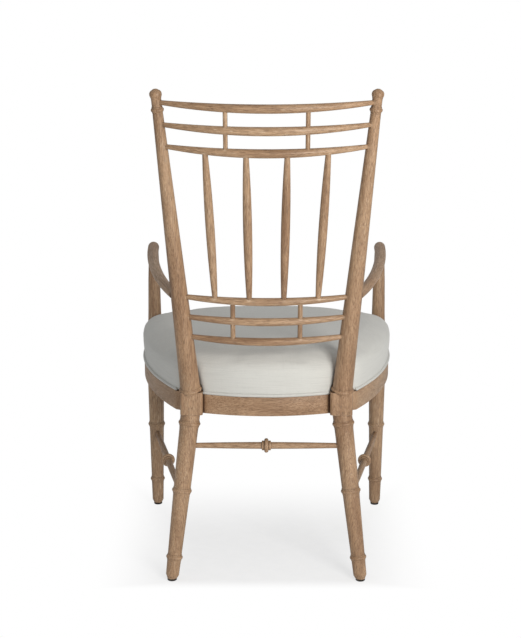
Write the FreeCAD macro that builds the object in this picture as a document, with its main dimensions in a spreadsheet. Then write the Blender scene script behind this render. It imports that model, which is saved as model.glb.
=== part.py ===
"""A turned wooden armchair with a bowed, spindled back and an upholstered seat.

Frame: +Z up, the floor at z = 0, the chair faces -Y, and +X is the sitter's left.
The origin is on the floor under the middle of the chair. Sizes are in millimetres.
"""
import FreeCAD, Part
import math
import os

import Sketcher
from FreeCAD import Placement, Rotation, Vector

SIDES = {"left": 1, "right": -1}
UPRIGHT = 0.9       # an edge's direction along Z, above which it is upright
LEVEL = 0.01        # how near a height a corner must lie to be at it

# Every size that can be set by itself.
SIZES = {
    # overall
    "chair_height": 991.0,          # floor to the tips of the rear posts
    "origin_setback": 239.6,        # origin to the front posts' line
    "seat_frame_depth": 407.0,      # front post axis to rear block axis
    "front_post_spacing": 517.0,    # between the front posts' axes
    "rear_block_spacing": 300.0,    # between the rear blocks' axes
    "rear_foot_spacing": 386.0,     # between the rear feet, at the floor
    "post_top_spacing": 405.0,      # between the rear posts' tips
    "leg_rake": 35.0,               # rear foot behind its block
    "back_rake": 125.0,             # rear post's tip behind its block
    # square blocks that take the seat rails
    "seat_rail_bottom": 346.0,
    "rear_block_width": 45.0,
    "front_block_width": 42.0,
    "block_height": 46.0,
    "block_rounding": 6.0,
    # turned posts and legs: radii
    "post_top_radius": 9.4,
    "post_waist_radius": 14.3,
    "post_shoulder": 2.3,           # rear block's face to the post's foot
    "post_neck_flare": 0.4,
    "post_neck_run": 9.0,
    "finial_radius": 11.4,
    "finial_neck_run": 3.0,
    "finial_lip": 0.8,
    "finial_lip_rise": 1.2,
    "finial_rise": 4.2,
    "finial_band": 1.8,
    "finial_crown_share": 0.55,
    "finial_crown_drop": 2.2,
    "finial_crown_bulge": 1.7,
    "finial_tip_share": 0.18,
    "finial_tip_bulge": 0.5,
    "rear_leg_shoulder": 2.5,       # rear block's face to the leg's top
    "rear_knee_neck": 1.0,
    "rear_knee_ring_inset": 0.4,
    "rear_leg_middle_radius": 17.4,
    "rear_leg_foot_radius": 13.4,
    "front_leg_shoulder": 1.4,      # front block's face to the leg's top
    "front_knee_neck": 0.8,
    "front_knee_ring_inset": 0.3,
    "front_leg_middle_radius": 17.0,
    "front_leg_foot_radius": 13.0,
    "arm_support_foot_radius": 17.6,
    "arm_support_radius": 15.7,
    "arm_support_top_radius": 10.8,
    "arm_support_swell": 0.2,
    "arm_support_waist_drop": 0.9,
    "arm_support_waist_up": 36.0,
    "arm_support_neck_up": 9.0,
    "support_ring_flare": 1.0,
    "support_ring_lift": 1.0,
    "foot_chamfer": 3.2,
    "foot_chamfer_height": 7.0,
    "foot_stock": 6.0,              # rear leg's length below the floor before it is levelled
    "foot_stock_taper": 1.4,
    "rear_foot_flare": 0.8,
    "front_foot_flare": 1.2,
    "neck_drop": 0.4,               # turning just below a middle ring
    "neck_run": 12.0,
    "knee_neck_run": 14.0,
    # turned posts and legs: rings, by distance along the piece
    "ring_proud": 2.0,              # how far a bead stands out of the turning
    "ring_half_width": 3.6,
    "ring_fillet": 0.7,             # thin step on each side of a bead
    "ring_fillet_width": 2.2,
    "post_ring_below_top": 38.5,
    "finial_below_top": 16.0,
    "post_waist_below_top": 272.0,
    "block_ring_gap": 4.5,          # thin ring above each block
    "knee_ring_below_block": 21.5,  # ring on each leg under the block
    "rear_middle_ring": 189.0,
    "rear_low_ring": 49.0,
    "front_middle_ring": 199.0,
    "front_low_ring": 63.5,
    "seat_ring_height": 434.0,      # ring where the arm support leaves the cushion
    # glides
    "glide_height": 5.0,
    "glide_radius": 9.6,
    "glide_chamfer": 1.0,
    "glide_pin_radius": 1.5,
    "glide_pin_length": 18.0,
    # bowed back rails
    "crest_drop": 23.6,             # top rail under the posts' tips
    "crest_pitch": 40.2,
    "crest_bow": 53.0,
    "crest_girth": 16.6,
    "crest_end": 8.8,
    "lumbar_height": 594.0,
    "lumbar_pitch": 41.2,
    "lumbar_bow": 31.5,
    "lumbar_girth": 15.8,
    "lumbar_end": 10.0,
    "rail_tenon": 8.0,
    # spindles and struts of the back
    "spindle_top_pitch": 75.0,
    "spindle_foot_pitch": 66.0,
    "spindle_girth": 17.0,
    "spindle_end": 10.4,
    "spindle_tenon": 5.5,
    "crest_strut_spacing": 149.0,
    "crest_strut_girth": 8.6,
    "lumbar_strut_spacing": 130.0,
    "lumbar_strut_girth": 9.4,
    "strut_tenon": 4.5,
    # arms
    "arm_front_height": 619.0,
    "arm_rear_height": 595.0,
    "arm_front_radius": 12.6,
    "arm_rear_radius": 9.6,
    "arm_sweep": 46.0,              # handle that swings the arm outward at the back
    "arm_reach": 134.0,             # the same handle's length forward
    "arm_lead": 150.0,              # handle that runs straight back from the front
    "arm_lead_drift": 7.0,
    "arm_rear_outset": 11.0,        # arm's rear end outside the post's axis
    "arm_rear_ahead": 10.0,
    "arm_mouth_lead": 0.5,
    "arm_tenon_radius": 5.5,
    "arm_tenon_length": 13.0,
    # stretchers
    "rear_stretcher_height": 279.0,
    "side_stretcher_height": 179.5,
    "stretcher_end_radius": 5.3,
    "stretcher_radius": 7.0,
    "stretcher_tenon": 12.0,
    "stretcher_end_share": 0.2,
    "stretcher_end_swell": 0.6,
    "stretcher_neck_share": 0.36,
    "stretcher_neck_drop": 0.2,
    "knob_lip": 0.6,
    "knob_shoulder_bulge": 0.8,
    "knob_radius": 14.6,
    "knob_shoulder_radius": 9.2,
    "knob_half_width": 4.4,
    "knob_shoulder_width": 4.8,
    # seat frame
    "seat_rail_height": 39.0,
    "seat_rail_thickness": 22.0,
    "rear_rail_setback": 5.0,       # rear rail's outer face behind the blocks' axes
    "side_rail_proud": 2.5,         # side rails' outer faces past the rear blocks
    "side_rail_ahead": 7.0,
    "side_rail_front_inset": 0.5,
    "side_rail_stop": 9.0,
    "rear_rail_bow": 23.0,
    "side_rail_bow": 28.0,
    "front_rail_bow": 84.0,
    "rail_tenon_thickness": 9.0,
    "rail_tenon_height": 24.0,
    "rail_tenon_length": 13.0,
    "rail_tenon_root": 2.0,
    "rear_tenon_ahead": 6.0,        # rear rail's tenons ahead of the blocks' axes
    "front_tenon_ahead": 0.5,
    "rail_tenon_shift": 3.5,        # side rails' rear tenons, inboard of the rail's middle
    "corner_block_rise": 4.0,       # rail bottom to the corner blocks' bottom
    "rear_corner_block_across": 112.0,
    "rear_corner_block_behind": 42.0,
    "rear_corner_block_ahead": 138.0,
    "front_corner_block_across": 130.0,
    "front_corner_block_behind": 60.0,
    "front_corner_block_ahead": 130.0,
    "corner_block_clearance": 0.15,
    "corner_block_toe": 11.0,       # how wide a rear corner block bears on its square block
    # upholstered seat
    "board_inset": 6.0,
    "board_thickness": 12.0,
    "foam_height": 88.0,            # rail top to the top of the foam
    "foam_inset": 1.5,
    "foam_notch_gap": 0.4,
    "cover_gap": 0.3,               # cover to the foam and to the welt
    "cover_overhang": 2.5,
    "cover_thickness": 2.0,
    "cushion_rounding": 26.0,
    "cushion_corner_extra": 6.0,    # the plan corners' radius beyond the top edge's
    "welt_radius": 3.3,
    "notch_gap": 0.6,               # upholstery to a post or a block
    "round_notch_gap": 0.8,
    "dust_cover_notch": 1.0,
    "dust_cover_inset": 5.0,
    "dust_cover_thickness": 0.8,
    # fasteners
    "screw_radius": 2.1,
    "screw_head_radius": 4.0,
    "screw_head_height": 2.8,
    "screw_head_rim": 0.6,
    "screw_point_length": 4.0,
    "screw_point_radius": 0.3,
    "rail_screw_length": 36.0,
    "rail_screw_bite": 14.0,        # how far a corner screw's tip enters a rail
    "seat_screw_length": 42.0,
    "seat_screw_recess": 2.0,
    # fit
    "joint_clearance": 0.05,        # tenon to mortise, on each side
    "cope_clearance": 0.1,          # front post's hollowed top to the arm's underside
    "mortise_extra": 0.5,           # blind end of a mortise past its tenon
    "cutter_past": 10.0,            # how far a cutter runs past the face it opens
}

# Radii that follow from the square blocks they run into.
POST_FOOT = "(Sizes.rear_block_width / 2 - Sizes.post_shoulder)"
REAR_LEG_TOP = "(Sizes.rear_block_width / 2 - Sizes.rear_leg_shoulder)"
FRONT_LEG_TOP = "(Sizes.front_block_width / 2 - Sizes.front_leg_shoulder)"

doc = FreeCAD.newDocument("armchair")
sheet = doc.addObject("Spreadsheet::Sheet", "Sizes")
for row, (alias, number) in enumerate(SIZES.items(), start=1):
    sheet.set(f"A{row}", alias)
    sheet.set(f"B{row}", str(number))
    sheet.setAlias(f"B{row}", alias)
doc.recompute()

parts = []


def value(expression):
    """Return the number that an expression in the sheet's sizes gives."""
    return float(sheet.evalExpression(str(expression)))


def bind(thing, **sizes):
    """Tie each property of a thing to an expression."""
    for name, expression in sizes.items():
        thing.setExpression(name, str(expression))
    return thing


def keep(thing, label):
    """Mark a document object as a sub-part of the chair."""
    thing.Label = label
    parts.append(thing)
    return thing


def along(start, end):
    """Return the rotation that turns +Z into the direction from start to end."""
    return Rotation(Vector(0, 0, 1), end - start)


def facing(direction, side):
    """Return the rotation that turns +Z into a direction and keeps +X near a side."""
    axis = Vector(direction).normalize()
    square = axis.cross(side).normalize()
    return Rotation(square.cross(axis), square, axis, "ZXY")


def on_line(low, high, height):
    """Return the point at a height on the line through two points."""
    return low + (high - low) * ((height - low.z) / (high.z - low.z))


# ---------------------------------------------------------------- the posts' axes

FRONT_Y = -value("Sizes.origin_setback")
REAR_Y = FRONT_Y + value("Sizes.seat_frame_depth")
BLOCK_MIDDLE = value("Sizes.seat_rail_bottom + Sizes.block_height / 2")


def rear_foot(side):
    """Return the point where a rear leg's axis meets the floor."""
    across = side * value("Sizes.rear_foot_spacing / 2")
    return Vector(across, REAR_Y + value("Sizes.leg_rake"), 0)


def rear_knee(side):
    """Return the middle of a rear block, where leg and post meet."""
    return Vector(side * value("Sizes.rear_block_spacing / 2"), REAR_Y, BLOCK_MIDDLE)


def rear_tip(side):
    """Return the tip of a rear post."""
    across = side * value("Sizes.post_top_spacing / 2")
    return Vector(across, REAR_Y + value("Sizes.back_rake"), value("Sizes.chair_height"))


def on_rear_post(side, height):
    """Return the point at a height on a rear post's axis, above the knee."""
    return on_line(rear_knee(side), rear_tip(side), height)


def on_rear_leg(side, height):
    """Return the point at a height on a rear leg's axis, below the knee."""
    return on_line(rear_foot(side), rear_knee(side), height)


def on_front_post(side, height):
    """Return the point at a height on a front post's upright axis."""
    return Vector(side * value("Sizes.front_post_spacing / 2"), FRONT_Y, height)


# ---------------------------------------------------------------- turned pieces


def ring(radius, height, proud="Sizes.ring_proud"):
    """Return a turned ring's stations: a bead between two thin fillets."""
    half = "Sizes.ring_half_width"
    outer = f"{half} + Sizes.ring_fillet_width"
    step = f"{radius} + Sizes.ring_fillet"
    return [
        (radius, f"{height} - ({outer})", None),
        (step, f"{height} - ({outer})", None),
        (step, f"{height} - {half}", None),
        (step, f"{height} + {half}", proud),
        (step, f"{height} + ({outer})", None),
        (radius, f"{height} + ({outer})", None),
    ]


def bead_radius(start, end, proud):
    """Return the radius of the arc between two stations that stands this proud."""
    width, rise = f"(({end[0]}) - ({start[0]}))", f"(({end[1]}) - ({start[1]}))"
    return f"(({width} ^ 2 + {rise} ^ 2) / 4 + ({proud}) ^ 2) / (2 * ({proud}))"


def turned(name, stations):
    """Make a body by revolving a profile about its own +Z axis.

    A station is a radius, a height, and how far the edge that arrives there bulges.
    """
    body = doc.addObject("PartDesign::Body", name)
    sketch = body.newObject("Sketcher::SketchObject", f"{name}_profile")
    plane = next(f for f in body.Origin.OriginFeatures if f.Role == "XZ_Plane")
    sketch.AttachmentSupport = [(plane, "")]
    sketch.MapMode = "FlatFace"
    outline = [("0", stations[0][1], None)] + stations + [("0", stations[-1][1], None)]
    points = [Vector(value(radius), value(height), 0) for radius, height, _ in outline]
    count = len(outline)
    for index in range(count):
        start = points[index]
        end = points[(index + 1) % count]
        proud = outline[(index + 1) % count][2]
        if proud:
            chord = end - start
            outward = Vector(chord.y, -chord.x, 0).normalize()
            middle = (start + end) * 0.5 + outward * value(proud)
            sketch.addGeometry(Part.Arc(start, middle, end), False)
        else:
            sketch.addGeometry(Part.LineSegment(start, end), False)
    for index in range(count):
        sketch.addConstraint(Sketcher.Constraint("Coincident", index, 2, (index + 1) % count, 1))
    for index, (radius, height, _) in enumerate(outline):
        if index in (0, count - 1):
            sketch.addConstraint(Sketcher.Constraint("PointOnObject", index, 1, -2))
        else:
            across = sketch.addConstraint(
                Sketcher.Constraint("DistanceX", -1, 1, index, 1, points[index].x))
            sketch.setExpression(f"Constraints[{across}]", radius)
        up = sketch.addConstraint(
            Sketcher.Constraint("DistanceY", -1, 1, index, 1, points[index].y))
        sketch.setExpression(f"Constraints[{up}]", height)
    for index in range(count):
        proud = outline[(index + 1) % count][2]
        if proud:
            bead = bead_radius(outline[index], outline[(index + 1) % count], proud)
            arc = sketch.addConstraint(Sketcher.Constraint("Radius", index, value(bead)))
            sketch.setExpression(f"Constraints[{arc}]", bead)
    turning = body.newObject("PartDesign::Revolution", f"{name}_turning")
    turning.Profile = sketch
    turning.ReferenceAxis = (sketch, ["V_Axis"])
    turning.Angle = 360
    body.Tip = turning
    return body


def radius_at(stations, distance):
    """Return a turned profile's radius at a distance along it."""
    profile = [(value(height), value(radius)) for radius, height, _ in stations]
    for (low, low_radius), (high, high_radius) in zip(profile, profile[1:]):
        if low <= distance <= high and high > low:
            share = (distance - low) / (high - low)
            return low_radius + share * (high_radius - low_radius)
    return profile[-1][1]


# ---------------------------------------------------------------- joints


def cylinder(name, start, end, radius):
    """Make a round bar between two points."""
    bar = doc.addObject("Part::Cylinder", name)
    bind(bar, Radius=radius)
    bar.Height = (end - start).Length
    bar.Placement = Placement(start, along(start, end))
    return bar


def box(name, centre, turn, length, width, height):
    """Make a box about a centre, turned about +Z, with its sizes bound."""
    block = doc.addObject("Part::Box", name)
    bind(block, Length=length, Width=width, Height=height)
    turned_by = Rotation(Vector(0, 0, 1), turn)
    half = Vector(value(length) / 2, value(width) / 2, value(height) / 2)
    block.Placement = Placement(centre - turned_by.multVec(half), turned_by)
    return block


def fuse(name, things):
    """Join shapes into one solid."""
    joined = doc.addObject("Part::MultiFuse", name)
    joined.Shapes = things
    return joined


def cut(name, base, tools):
    """Cut one or more tools out of a base."""
    if len(tools) > 1:
        tool = doc.addObject("Part::Compound", f"{name}_tools")
        tool.Links = tools
    else:
        tool = tools[0]
    result = doc.addObject("Part::Cut", name)
    result.Base = base
    result.Tool = tool
    return result


class Socket:
    """A round tenon's seat: its mouth, its direction inward, and its sizes."""

    LEAD = 3.0      # how far the cutter starts outside the mouth

    def __init__(self, mouth, inward, radius, depth):
        self.mouth = mouth
        self.inward = Vector(inward).normalize()
        self.radius = radius
        self.depth = depth

    def tenon(self, name):
        """Make the tenon."""
        end = self.mouth + self.inward * value(self.depth)
        return cylinder(name, self.mouth, end, self.radius)

    def mortise(self, name):
        """Make the cutter for the hole that takes the tenon."""
        start = self.mouth - self.inward * self.LEAD
        end = self.mouth + self.inward * value(f"{self.depth} + Sizes.mortise_extra")
        return cylinder(name, start, end, f"{self.radius} + Sizes.joint_clearance")


def drilled(name, base, sockets):
    """Cut the mortises of several sockets out of a base."""
    cutters = [socket.mortise(f"{name}_mortise_{n}") for n, socket in enumerate(sockets, 1)]
    return cut(name, base, cutters)


# ---------------------------------------------------------------- swelled rods

ROD_STATIONS = 9


class Rod:
    """A round rod that swells from its ends to its middle, straight or bowed."""

    def __init__(self, name, start, end, bow, insets, girth, tip, tenon):
        self.name = name
        self.middle = (start + end) * 0.5
        self.half = (end - start) * 0.5
        self.bow = bow
        self.girth = girth
        self.tip = tip
        self.tenon = tenon
        self.low = -1 + insets[0] / self.tangent(-1).Length
        self.high = 1 - insets[1] / self.tangent(1).Length

    def point(self, share):
        """Return the axis point at a share of the way, from -1 to 1."""
        return self.middle + self.half * share + self.bow * (1 - share * share)

    def tangent(self, share):
        """Return the axis direction at a share of the way."""
        return self.half - self.bow * (2 * share)

    def radius(self, share):
        """Return the expression for the radius at a share of the way."""
        span = (self.high - self.low) / 2
        centre = (self.high + self.low) / 2
        slack = round(((share - centre) / span) ** 2, 6)
        return f"{self.girth} / 2 - ({self.girth} - {self.tip}) / 2 * {slack}"

    def across(self, x):
        """Return the share of the way at which the axis reaches an x."""
        return (x - self.middle.x) / self.half.x

    def sockets(self):
        """Return the sockets at the rod's two ends."""
        tip = f"{self.tip} / 2"
        return [
            Socket(self.point(self.low), self.tangent(self.low) * -1, tip, self.tenon),
            Socket(self.point(self.high), self.tangent(self.high), tip, self.tenon),
        ]

    def form(self):
        """Make the rod, with a tenon at each end."""
        circles = []
        for step in range(ROD_STATIONS):
            share = self.low + (self.high - self.low) * step / (ROD_STATIONS - 1)
            circle = doc.addObject("Part::Circle", f"{self.name}_section")
            bind(circle, Radius=self.radius(share))
            turn = facing(self.tangent(share), back_square())
            circle.Placement = Placement(self.point(share), turn)
            circles.append(circle)
        loft = doc.addObject("Part::Loft", f"{self.name}_loft")
        loft.Sections = circles
        loft.Solid = True
        tenons = [s.tenon(f"{self.name}_tenon") for s in self.sockets()]
        return fuse(f"{self.name}_form", [loft] + tenons)


# ---------------------------------------------------------------- rear posts and legs


def rear_post_stations(length):
    """Return the stations of a rear post, from the knee up to its tip."""
    top = f"{length}"
    ring_up = "Sizes.block_height / 2 + Sizes.block_ring_gap"
    head = f"{top} - Sizes.finial_below_top"
    neck = "Sizes.post_top_radius"
    return [
        (POST_FOOT, "0", None),
        *ring(POST_FOOT, f"({ring_up})"),
        ("Sizes.post_waist_radius", f"{top} - Sizes.post_waist_below_top", None),
        (f"{neck} + Sizes.post_neck_flare",
         f"{top} - Sizes.post_ring_below_top - Sizes.post_neck_run", None),
        *ring(neck, f"({top} - Sizes.post_ring_below_top)"),
        (neck, f"{head} - Sizes.finial_neck_run", None),
        (f"{neck} + Sizes.finial_lip", f"{head} + Sizes.finial_lip_rise", None),
        ("Sizes.finial_radius", f"{head} + Sizes.finial_rise", None),
        ("Sizes.finial_radius", f"{head} + Sizes.finial_rise + Sizes.finial_band", None),
        ("Sizes.finial_radius * Sizes.finial_crown_share",
         f"{top} - Sizes.finial_crown_drop", "Sizes.finial_crown_bulge"),
        ("Sizes.finial_radius * Sizes.finial_tip_share", top, "Sizes.finial_tip_bulge"),
    ]


def rear_leg_stations(length):
    """Return the stations of a rear leg, from under the floor up to the knee."""
    top = f"{length}"
    foot = "Sizes.rear_leg_foot_radius"
    knee_ring = f"({top} - Sizes.block_height / 2 - Sizes.knee_ring_below_block)"
    return [
        (f"{foot} - Sizes.foot_chamfer - Sizes.foot_stock_taper", "0 - Sizes.foot_stock", None),
        (f"{foot} - Sizes.foot_chamfer", "Sizes.glide_height", None),
        (foot, "Sizes.glide_height + Sizes.foot_chamfer_height", None),
        *ring(f"({foot} + Sizes.rear_foot_flare)", "Sizes.rear_low_ring"),
        ("Sizes.rear_leg_middle_radius - Sizes.neck_drop",
         "Sizes.rear_middle_ring - Sizes.neck_run", None),
        *ring("Sizes.rear_leg_middle_radius", "Sizes.rear_middle_ring"),
        (f"{REAR_LEG_TOP} - Sizes.rear_knee_neck",
         f"{knee_ring} - Sizes.knee_neck_run", None),
        *ring(f"({REAR_LEG_TOP} - Sizes.rear_knee_ring_inset)", knee_ring),
        (REAR_LEG_TOP, top, None),
    ]


def block_form(name, centre, width):
    """Make a square block with rounded upright edges and eased ends."""
    body = doc.addObject("PartDesign::Body", name)
    sketch = body.newObject("Sketcher::SketchObject", f"{name}_square")
    plane = next(f for f in body.Origin.OriginFeatures if f.Role == "XY_Plane")
    sketch.AttachmentSupport = [(plane, "")]
    sketch.MapMode = "FlatFace"
    half = value(width) / 2
    corners = [Vector(x * half, y * half, 0) for x, y in ((-1, -1), (1, -1), (1, 1), (-1, 1))]
    for index in range(4):
        sketch.addGeometry(Part.LineSegment(corners[index], corners[(index + 1) % 4]), False)
    for index in range(4):
        sketch.addConstraint(Sketcher.Constraint("Coincident", index, 2, (index + 1) % 4, 1))
    for index in (0, 2):
        sketch.addConstraint(Sketcher.Constraint("Horizontal", index))
        sketch.addConstraint(Sketcher.Constraint("Vertical", index + 1))
    sketch.addConstraint(Sketcher.Constraint("Symmetric", 0, 1, 2, 1, -1, 1))
    across = sketch.addConstraint(Sketcher.Constraint("DistanceX", 0, 1, 0, 2, 2 * half))
    sketch.setExpression(f"Constraints[{across}]", width)
    back = sketch.addConstraint(Sketcher.Constraint("DistanceY", 1, 1, 1, 2, 2 * half))
    sketch.setExpression(f"Constraints[{back}]", width)
    pad = body.newObject("PartDesign::Pad", f"{name}_pad")
    pad.Profile = sketch
    pad.Midplane = True
    bind(pad, Length="Sizes.block_height")
    doc.recompute()
    upright = [f"Edge{n}" for n, edge in enumerate(pad.Shape.Edges, 1)
               if abs(edge.tangentAt(edge.FirstParameter).z) > UPRIGHT]
    rounding = body.newObject("PartDesign::Fillet", f"{name}_rounding")
    rounding.Base = (pad, upright)
    bind(rounding, Radius="Sizes.block_rounding")
    body.Tip = rounding
    body.Placement = Placement(centre, Rotation())
    return body


def floor_cutter(name, spot):
    """Make a box that levels a foot above its glide."""
    cutter = doc.addObject("Part::Box", name)
    reach = 2 * value("Sizes.rear_block_width")
    cutter.Length = 2 * reach
    cutter.Width = 2 * reach
    cutter.Height = value("Sizes.glide_height") + reach
    cutter.Placement = Placement(spot - Vector(reach, reach, reach), Rotation())
    return cutter


class RearPost:
    """A rear post: turned upper post, square block and turned leg in one stick."""

    def __init__(self, name, side):
        self.name = name
        self.side = side
        self.sockets = []
        self.cutters = []
        knee, foot, tip = rear_knee(side), rear_foot(side), rear_tip(side)
        self.upper_stations = rear_post_stations((tip - knee).Length)
        self.leg_stations = rear_leg_stations((knee - foot).Length)
        upper = turned(f"{name}_upper", self.upper_stations)
        upper.Placement = Placement(knee, along(knee, tip))
        leg = turned(f"{name}_leg", self.leg_stations)
        leg.Placement = Placement(foot, along(foot, knee))
        self.block = block_form(f"{name}_block", knee, "Sizes.rear_block_width")
        whole = fuse(f"{name}_stick", [self.block, upper, leg])
        self.form = cut(f"{name}_form", whole, [floor_cutter(f"{name}_floor", foot)])

    def radius(self, height):
        """Return the post's radius at a height."""
        knee = rear_knee(self.side)
        if height >= knee.z:
            point = on_rear_post(self.side, height)
            return radius_at(self.upper_stations, (point - knee).Length)
        foot = rear_foot(self.side)
        return radius_at(self.leg_stations, (on_rear_leg(self.side, height) - foot).Length)

    def finish(self):
        """Cut every mortise and name the piece."""
        cutters = [s.mortise(f"{self.name}_mortise") for s in self.sockets]
        keep(cut(self.name, self.form, cutters + self.cutters), self.name)


# ---------------------------------------------------------------- front posts


def front_post_stations():
    """Return the stations of a front post, from the glide up into the arm."""
    foot = "Sizes.front_leg_foot_radius"
    block_low = "Sizes.seat_rail_bottom"
    block_high = "(Sizes.seat_rail_bottom + Sizes.block_height)"
    support = "Sizes.arm_support_radius"
    waist = "Sizes.seat_ring_height + Sizes.arm_support_waist_up"
    return [
        (f"{foot} - Sizes.foot_chamfer", "Sizes.glide_height", None),
        (foot, "Sizes.glide_height + Sizes.foot_chamfer_height", None),
        *ring(f"({foot} + Sizes.front_foot_flare)", "Sizes.front_low_ring"),
        ("Sizes.front_leg_middle_radius - Sizes.neck_drop",
         "Sizes.front_middle_ring - Sizes.neck_run", None),
        *ring("Sizes.front_leg_middle_radius", "Sizes.front_middle_ring"),
        (f"{FRONT_LEG_TOP} - Sizes.front_knee_neck",
         f"{block_low} - Sizes.knee_ring_below_block - Sizes.knee_neck_run", None),
        *ring(f"({FRONT_LEG_TOP} - Sizes.front_knee_ring_inset)",
              f"({block_low} - Sizes.knee_ring_below_block)"),
        (FRONT_LEG_TOP, block_low, None),
        (FRONT_LEG_TOP, block_high, None),
        *ring("(Sizes.arm_support_foot_radius + Sizes.support_ring_flare)",
              f"({block_high} + Sizes.block_ring_gap + Sizes.support_ring_lift)"),
        *ring("Sizes.arm_support_foot_radius", "Sizes.seat_ring_height"),
        (support, "Sizes.seat_ring_height + Sizes.arm_support_neck_up", None),
        (f"{support} - Sizes.arm_support_waist_drop", waist, None),
        (f"({support} + Sizes.arm_support_top_radius) / 2 + Sizes.arm_support_swell",
         f"({waist} + Sizes.arm_front_height) / 2", None),
        ("Sizes.arm_support_top_radius", "Sizes.arm_front_height", None),
    ]


class FrontPost:
    """A front post: leg, square block and arm support turned from one stick."""

    def __init__(self, name, side):
        self.name = name
        self.side = side
        self.sockets = []
        self.cutters = []
        self.stations = front_post_stations()
        stick = turned(f"{name}_stick", self.stations)
        stick.Placement = Placement(on_front_post(side, 0), Rotation())
        centre = on_front_post(side, BLOCK_MIDDLE)
        self.block = block_form(f"{name}_block", centre, "Sizes.front_block_width")
        self.form = fuse(f"{name}_form", [self.block, stick])

    def radius(self, height):
        """Return the post's radius at a height."""
        return radius_at(self.stations, height)

    def finish(self, arm):
        """Cope the top to the arm, add its tenon, cut every mortise and name the piece."""
        bore = "Sizes.arm_front_radius + Sizes.cope_clearance"
        saddle = cylinder(f"{self.name}_saddle", arm.front,
                          arm.front + arm.direction(0) * value("3 * Sizes.arm_front_radius"), bore)
        dome = doc.addObject("Part::Sphere", f"{self.name}_dome")
        bind(dome, Radius=bore)
        dome.Placement = Placement(arm.front, facing(arm.direction(0), Vector(0, 0, -1)))
        saddled = cut(f"{self.name}_saddled", self.form, [saddle])
        coped = cut(f"{self.name}_coped", saddled, [dome])
        tenon = arm.front_socket.tenon(f"{self.name}_tenon")
        with_tenon = fuse(f"{self.name}_whole", [coped, tenon])
        cutters = [s.mortise(f"{self.name}_mortise") for s in self.sockets]
        keep(cut(self.name, with_tenon, cutters + self.cutters), self.name)


# ---------------------------------------------------------------- glides


def glide(name, spot):
    """Make a plastic glide whose pin is driven into a foot; return the pin's socket."""
    body = turned(f"{name}_disc", [
        ("Sizes.glide_radius - Sizes.glide_chamfer", "0", None),
        ("Sizes.glide_radius", "Sizes.glide_chamfer", None),
        ("Sizes.glide_radius", "Sizes.glide_height", None),
    ])
    body.Placement = Placement(spot, Rotation())
    mouth = spot + Vector(0, 0, value("Sizes.glide_height"))
    pin = Socket(mouth, Vector(0, 0, 1), "Sizes.glide_pin_radius", "Sizes.glide_pin_length")
    pin.LEAD = 0.0
    keep(fuse(name, [body, pin.tenon(f"{name}_pin")]), name)
    return pin


# ---------------------------------------------------------------- the back


SPINDLES = 4


def back_square():
    """Return the direction square to the raked back, pointing backward."""
    rise = rear_tip(1) - rear_knee(1)
    return Vector(0, rise.z, -rise.y).normalize()


def back_rail(name, posts, height, bow, girth, tip):
    """Make a bowed back rail between the posts at a height; add its sockets to them."""
    ends = [on_rear_post(post.side, height) for post in posts]
    insets = [post.radius(height) for post in posts]
    rail = Rod(name, ends[0], ends[1], back_square() * value(bow), insets,
               girth, tip, "Sizes.rail_tenon")
    for post, socket in zip(posts, rail.sockets()):
        post.sockets.append(socket)
    return rail


def upright(name, upper, lower, upper_x, lower_x, girth, tip, tenon):
    """Make a spindle or strut between two rails; return it with its two sockets."""
    shares = (lower.across(lower_x), upper.across(upper_x))
    ends = (lower.point(shares[0]), upper.point(shares[1]))
    insets = (value(lower.radius(shares[0])), value(upper.radius(shares[1])))
    rod = Rod(name, ends[0], ends[1], Vector(), insets, girth, tip, tenon)
    keep(rod.form(), name)
    return rod.sockets()


def make_back(posts):
    """Make the six rails, the four spindles and the eight struts of the back."""
    crest, lumbar = [], []
    for n, place in enumerate(("top", "middle", "low")):
        height = value(f"Sizes.chair_height - Sizes.crest_drop - {n} * Sizes.crest_pitch")
        crest.append(back_rail(f"crest_rail_{place}", posts, height,
                               "Sizes.crest_bow", "Sizes.crest_girth", "Sizes.crest_end"))
        height = value(f"Sizes.lumbar_height - {n} * Sizes.lumbar_pitch")
        lumbar.append(back_rail(f"lumbar_rail_{place}", posts, height,
                                "Sizes.lumbar_bow", "Sizes.lumbar_girth", "Sizes.lumbar_end"))
    holes = {rail.name: [] for rail in crest + lumbar}
    for n in range(SPINDLES):
        step = (SPINDLES - 1) / 2 - n
        foot, head = upright(f"spindle_{n + 1}", crest[2], lumbar[0],
                             step * value("Sizes.spindle_top_pitch"),
                             step * value("Sizes.spindle_foot_pitch"),
                             "Sizes.spindle_girth", "Sizes.spindle_end",
                             "Sizes.spindle_tenon")
        holes[lumbar[0].name].append(foot)
        holes[crest[2].name].append(head)
    for kind, rails in (("crest", crest), ("lumbar", lumbar)):
        for level, (above, below) in enumerate(zip(rails, rails[1:])):
            for word, side in SIDES.items():
                x = side * value(f"Sizes.{kind}_strut_spacing / 2")
                tier = ("upper", "lower")[level]
                girth = f"Sizes.{kind}_strut_girth"
                foot, head = upright(f"{kind}_strut_{tier}_{word}", above, below, x, x,
                                     girth, girth, "Sizes.strut_tenon")
                holes[below.name].append(foot)
                holes[above.name].append(head)
    for rail in crest + lumbar:
        keep(drilled(rail.name, rail.form(), holes[rail.name]), rail.name)


# ---------------------------------------------------------------- arms

ARM_STATIONS = 10
ARM_TAPER = 1.5     # the power of the way back by which an arm thins


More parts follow.
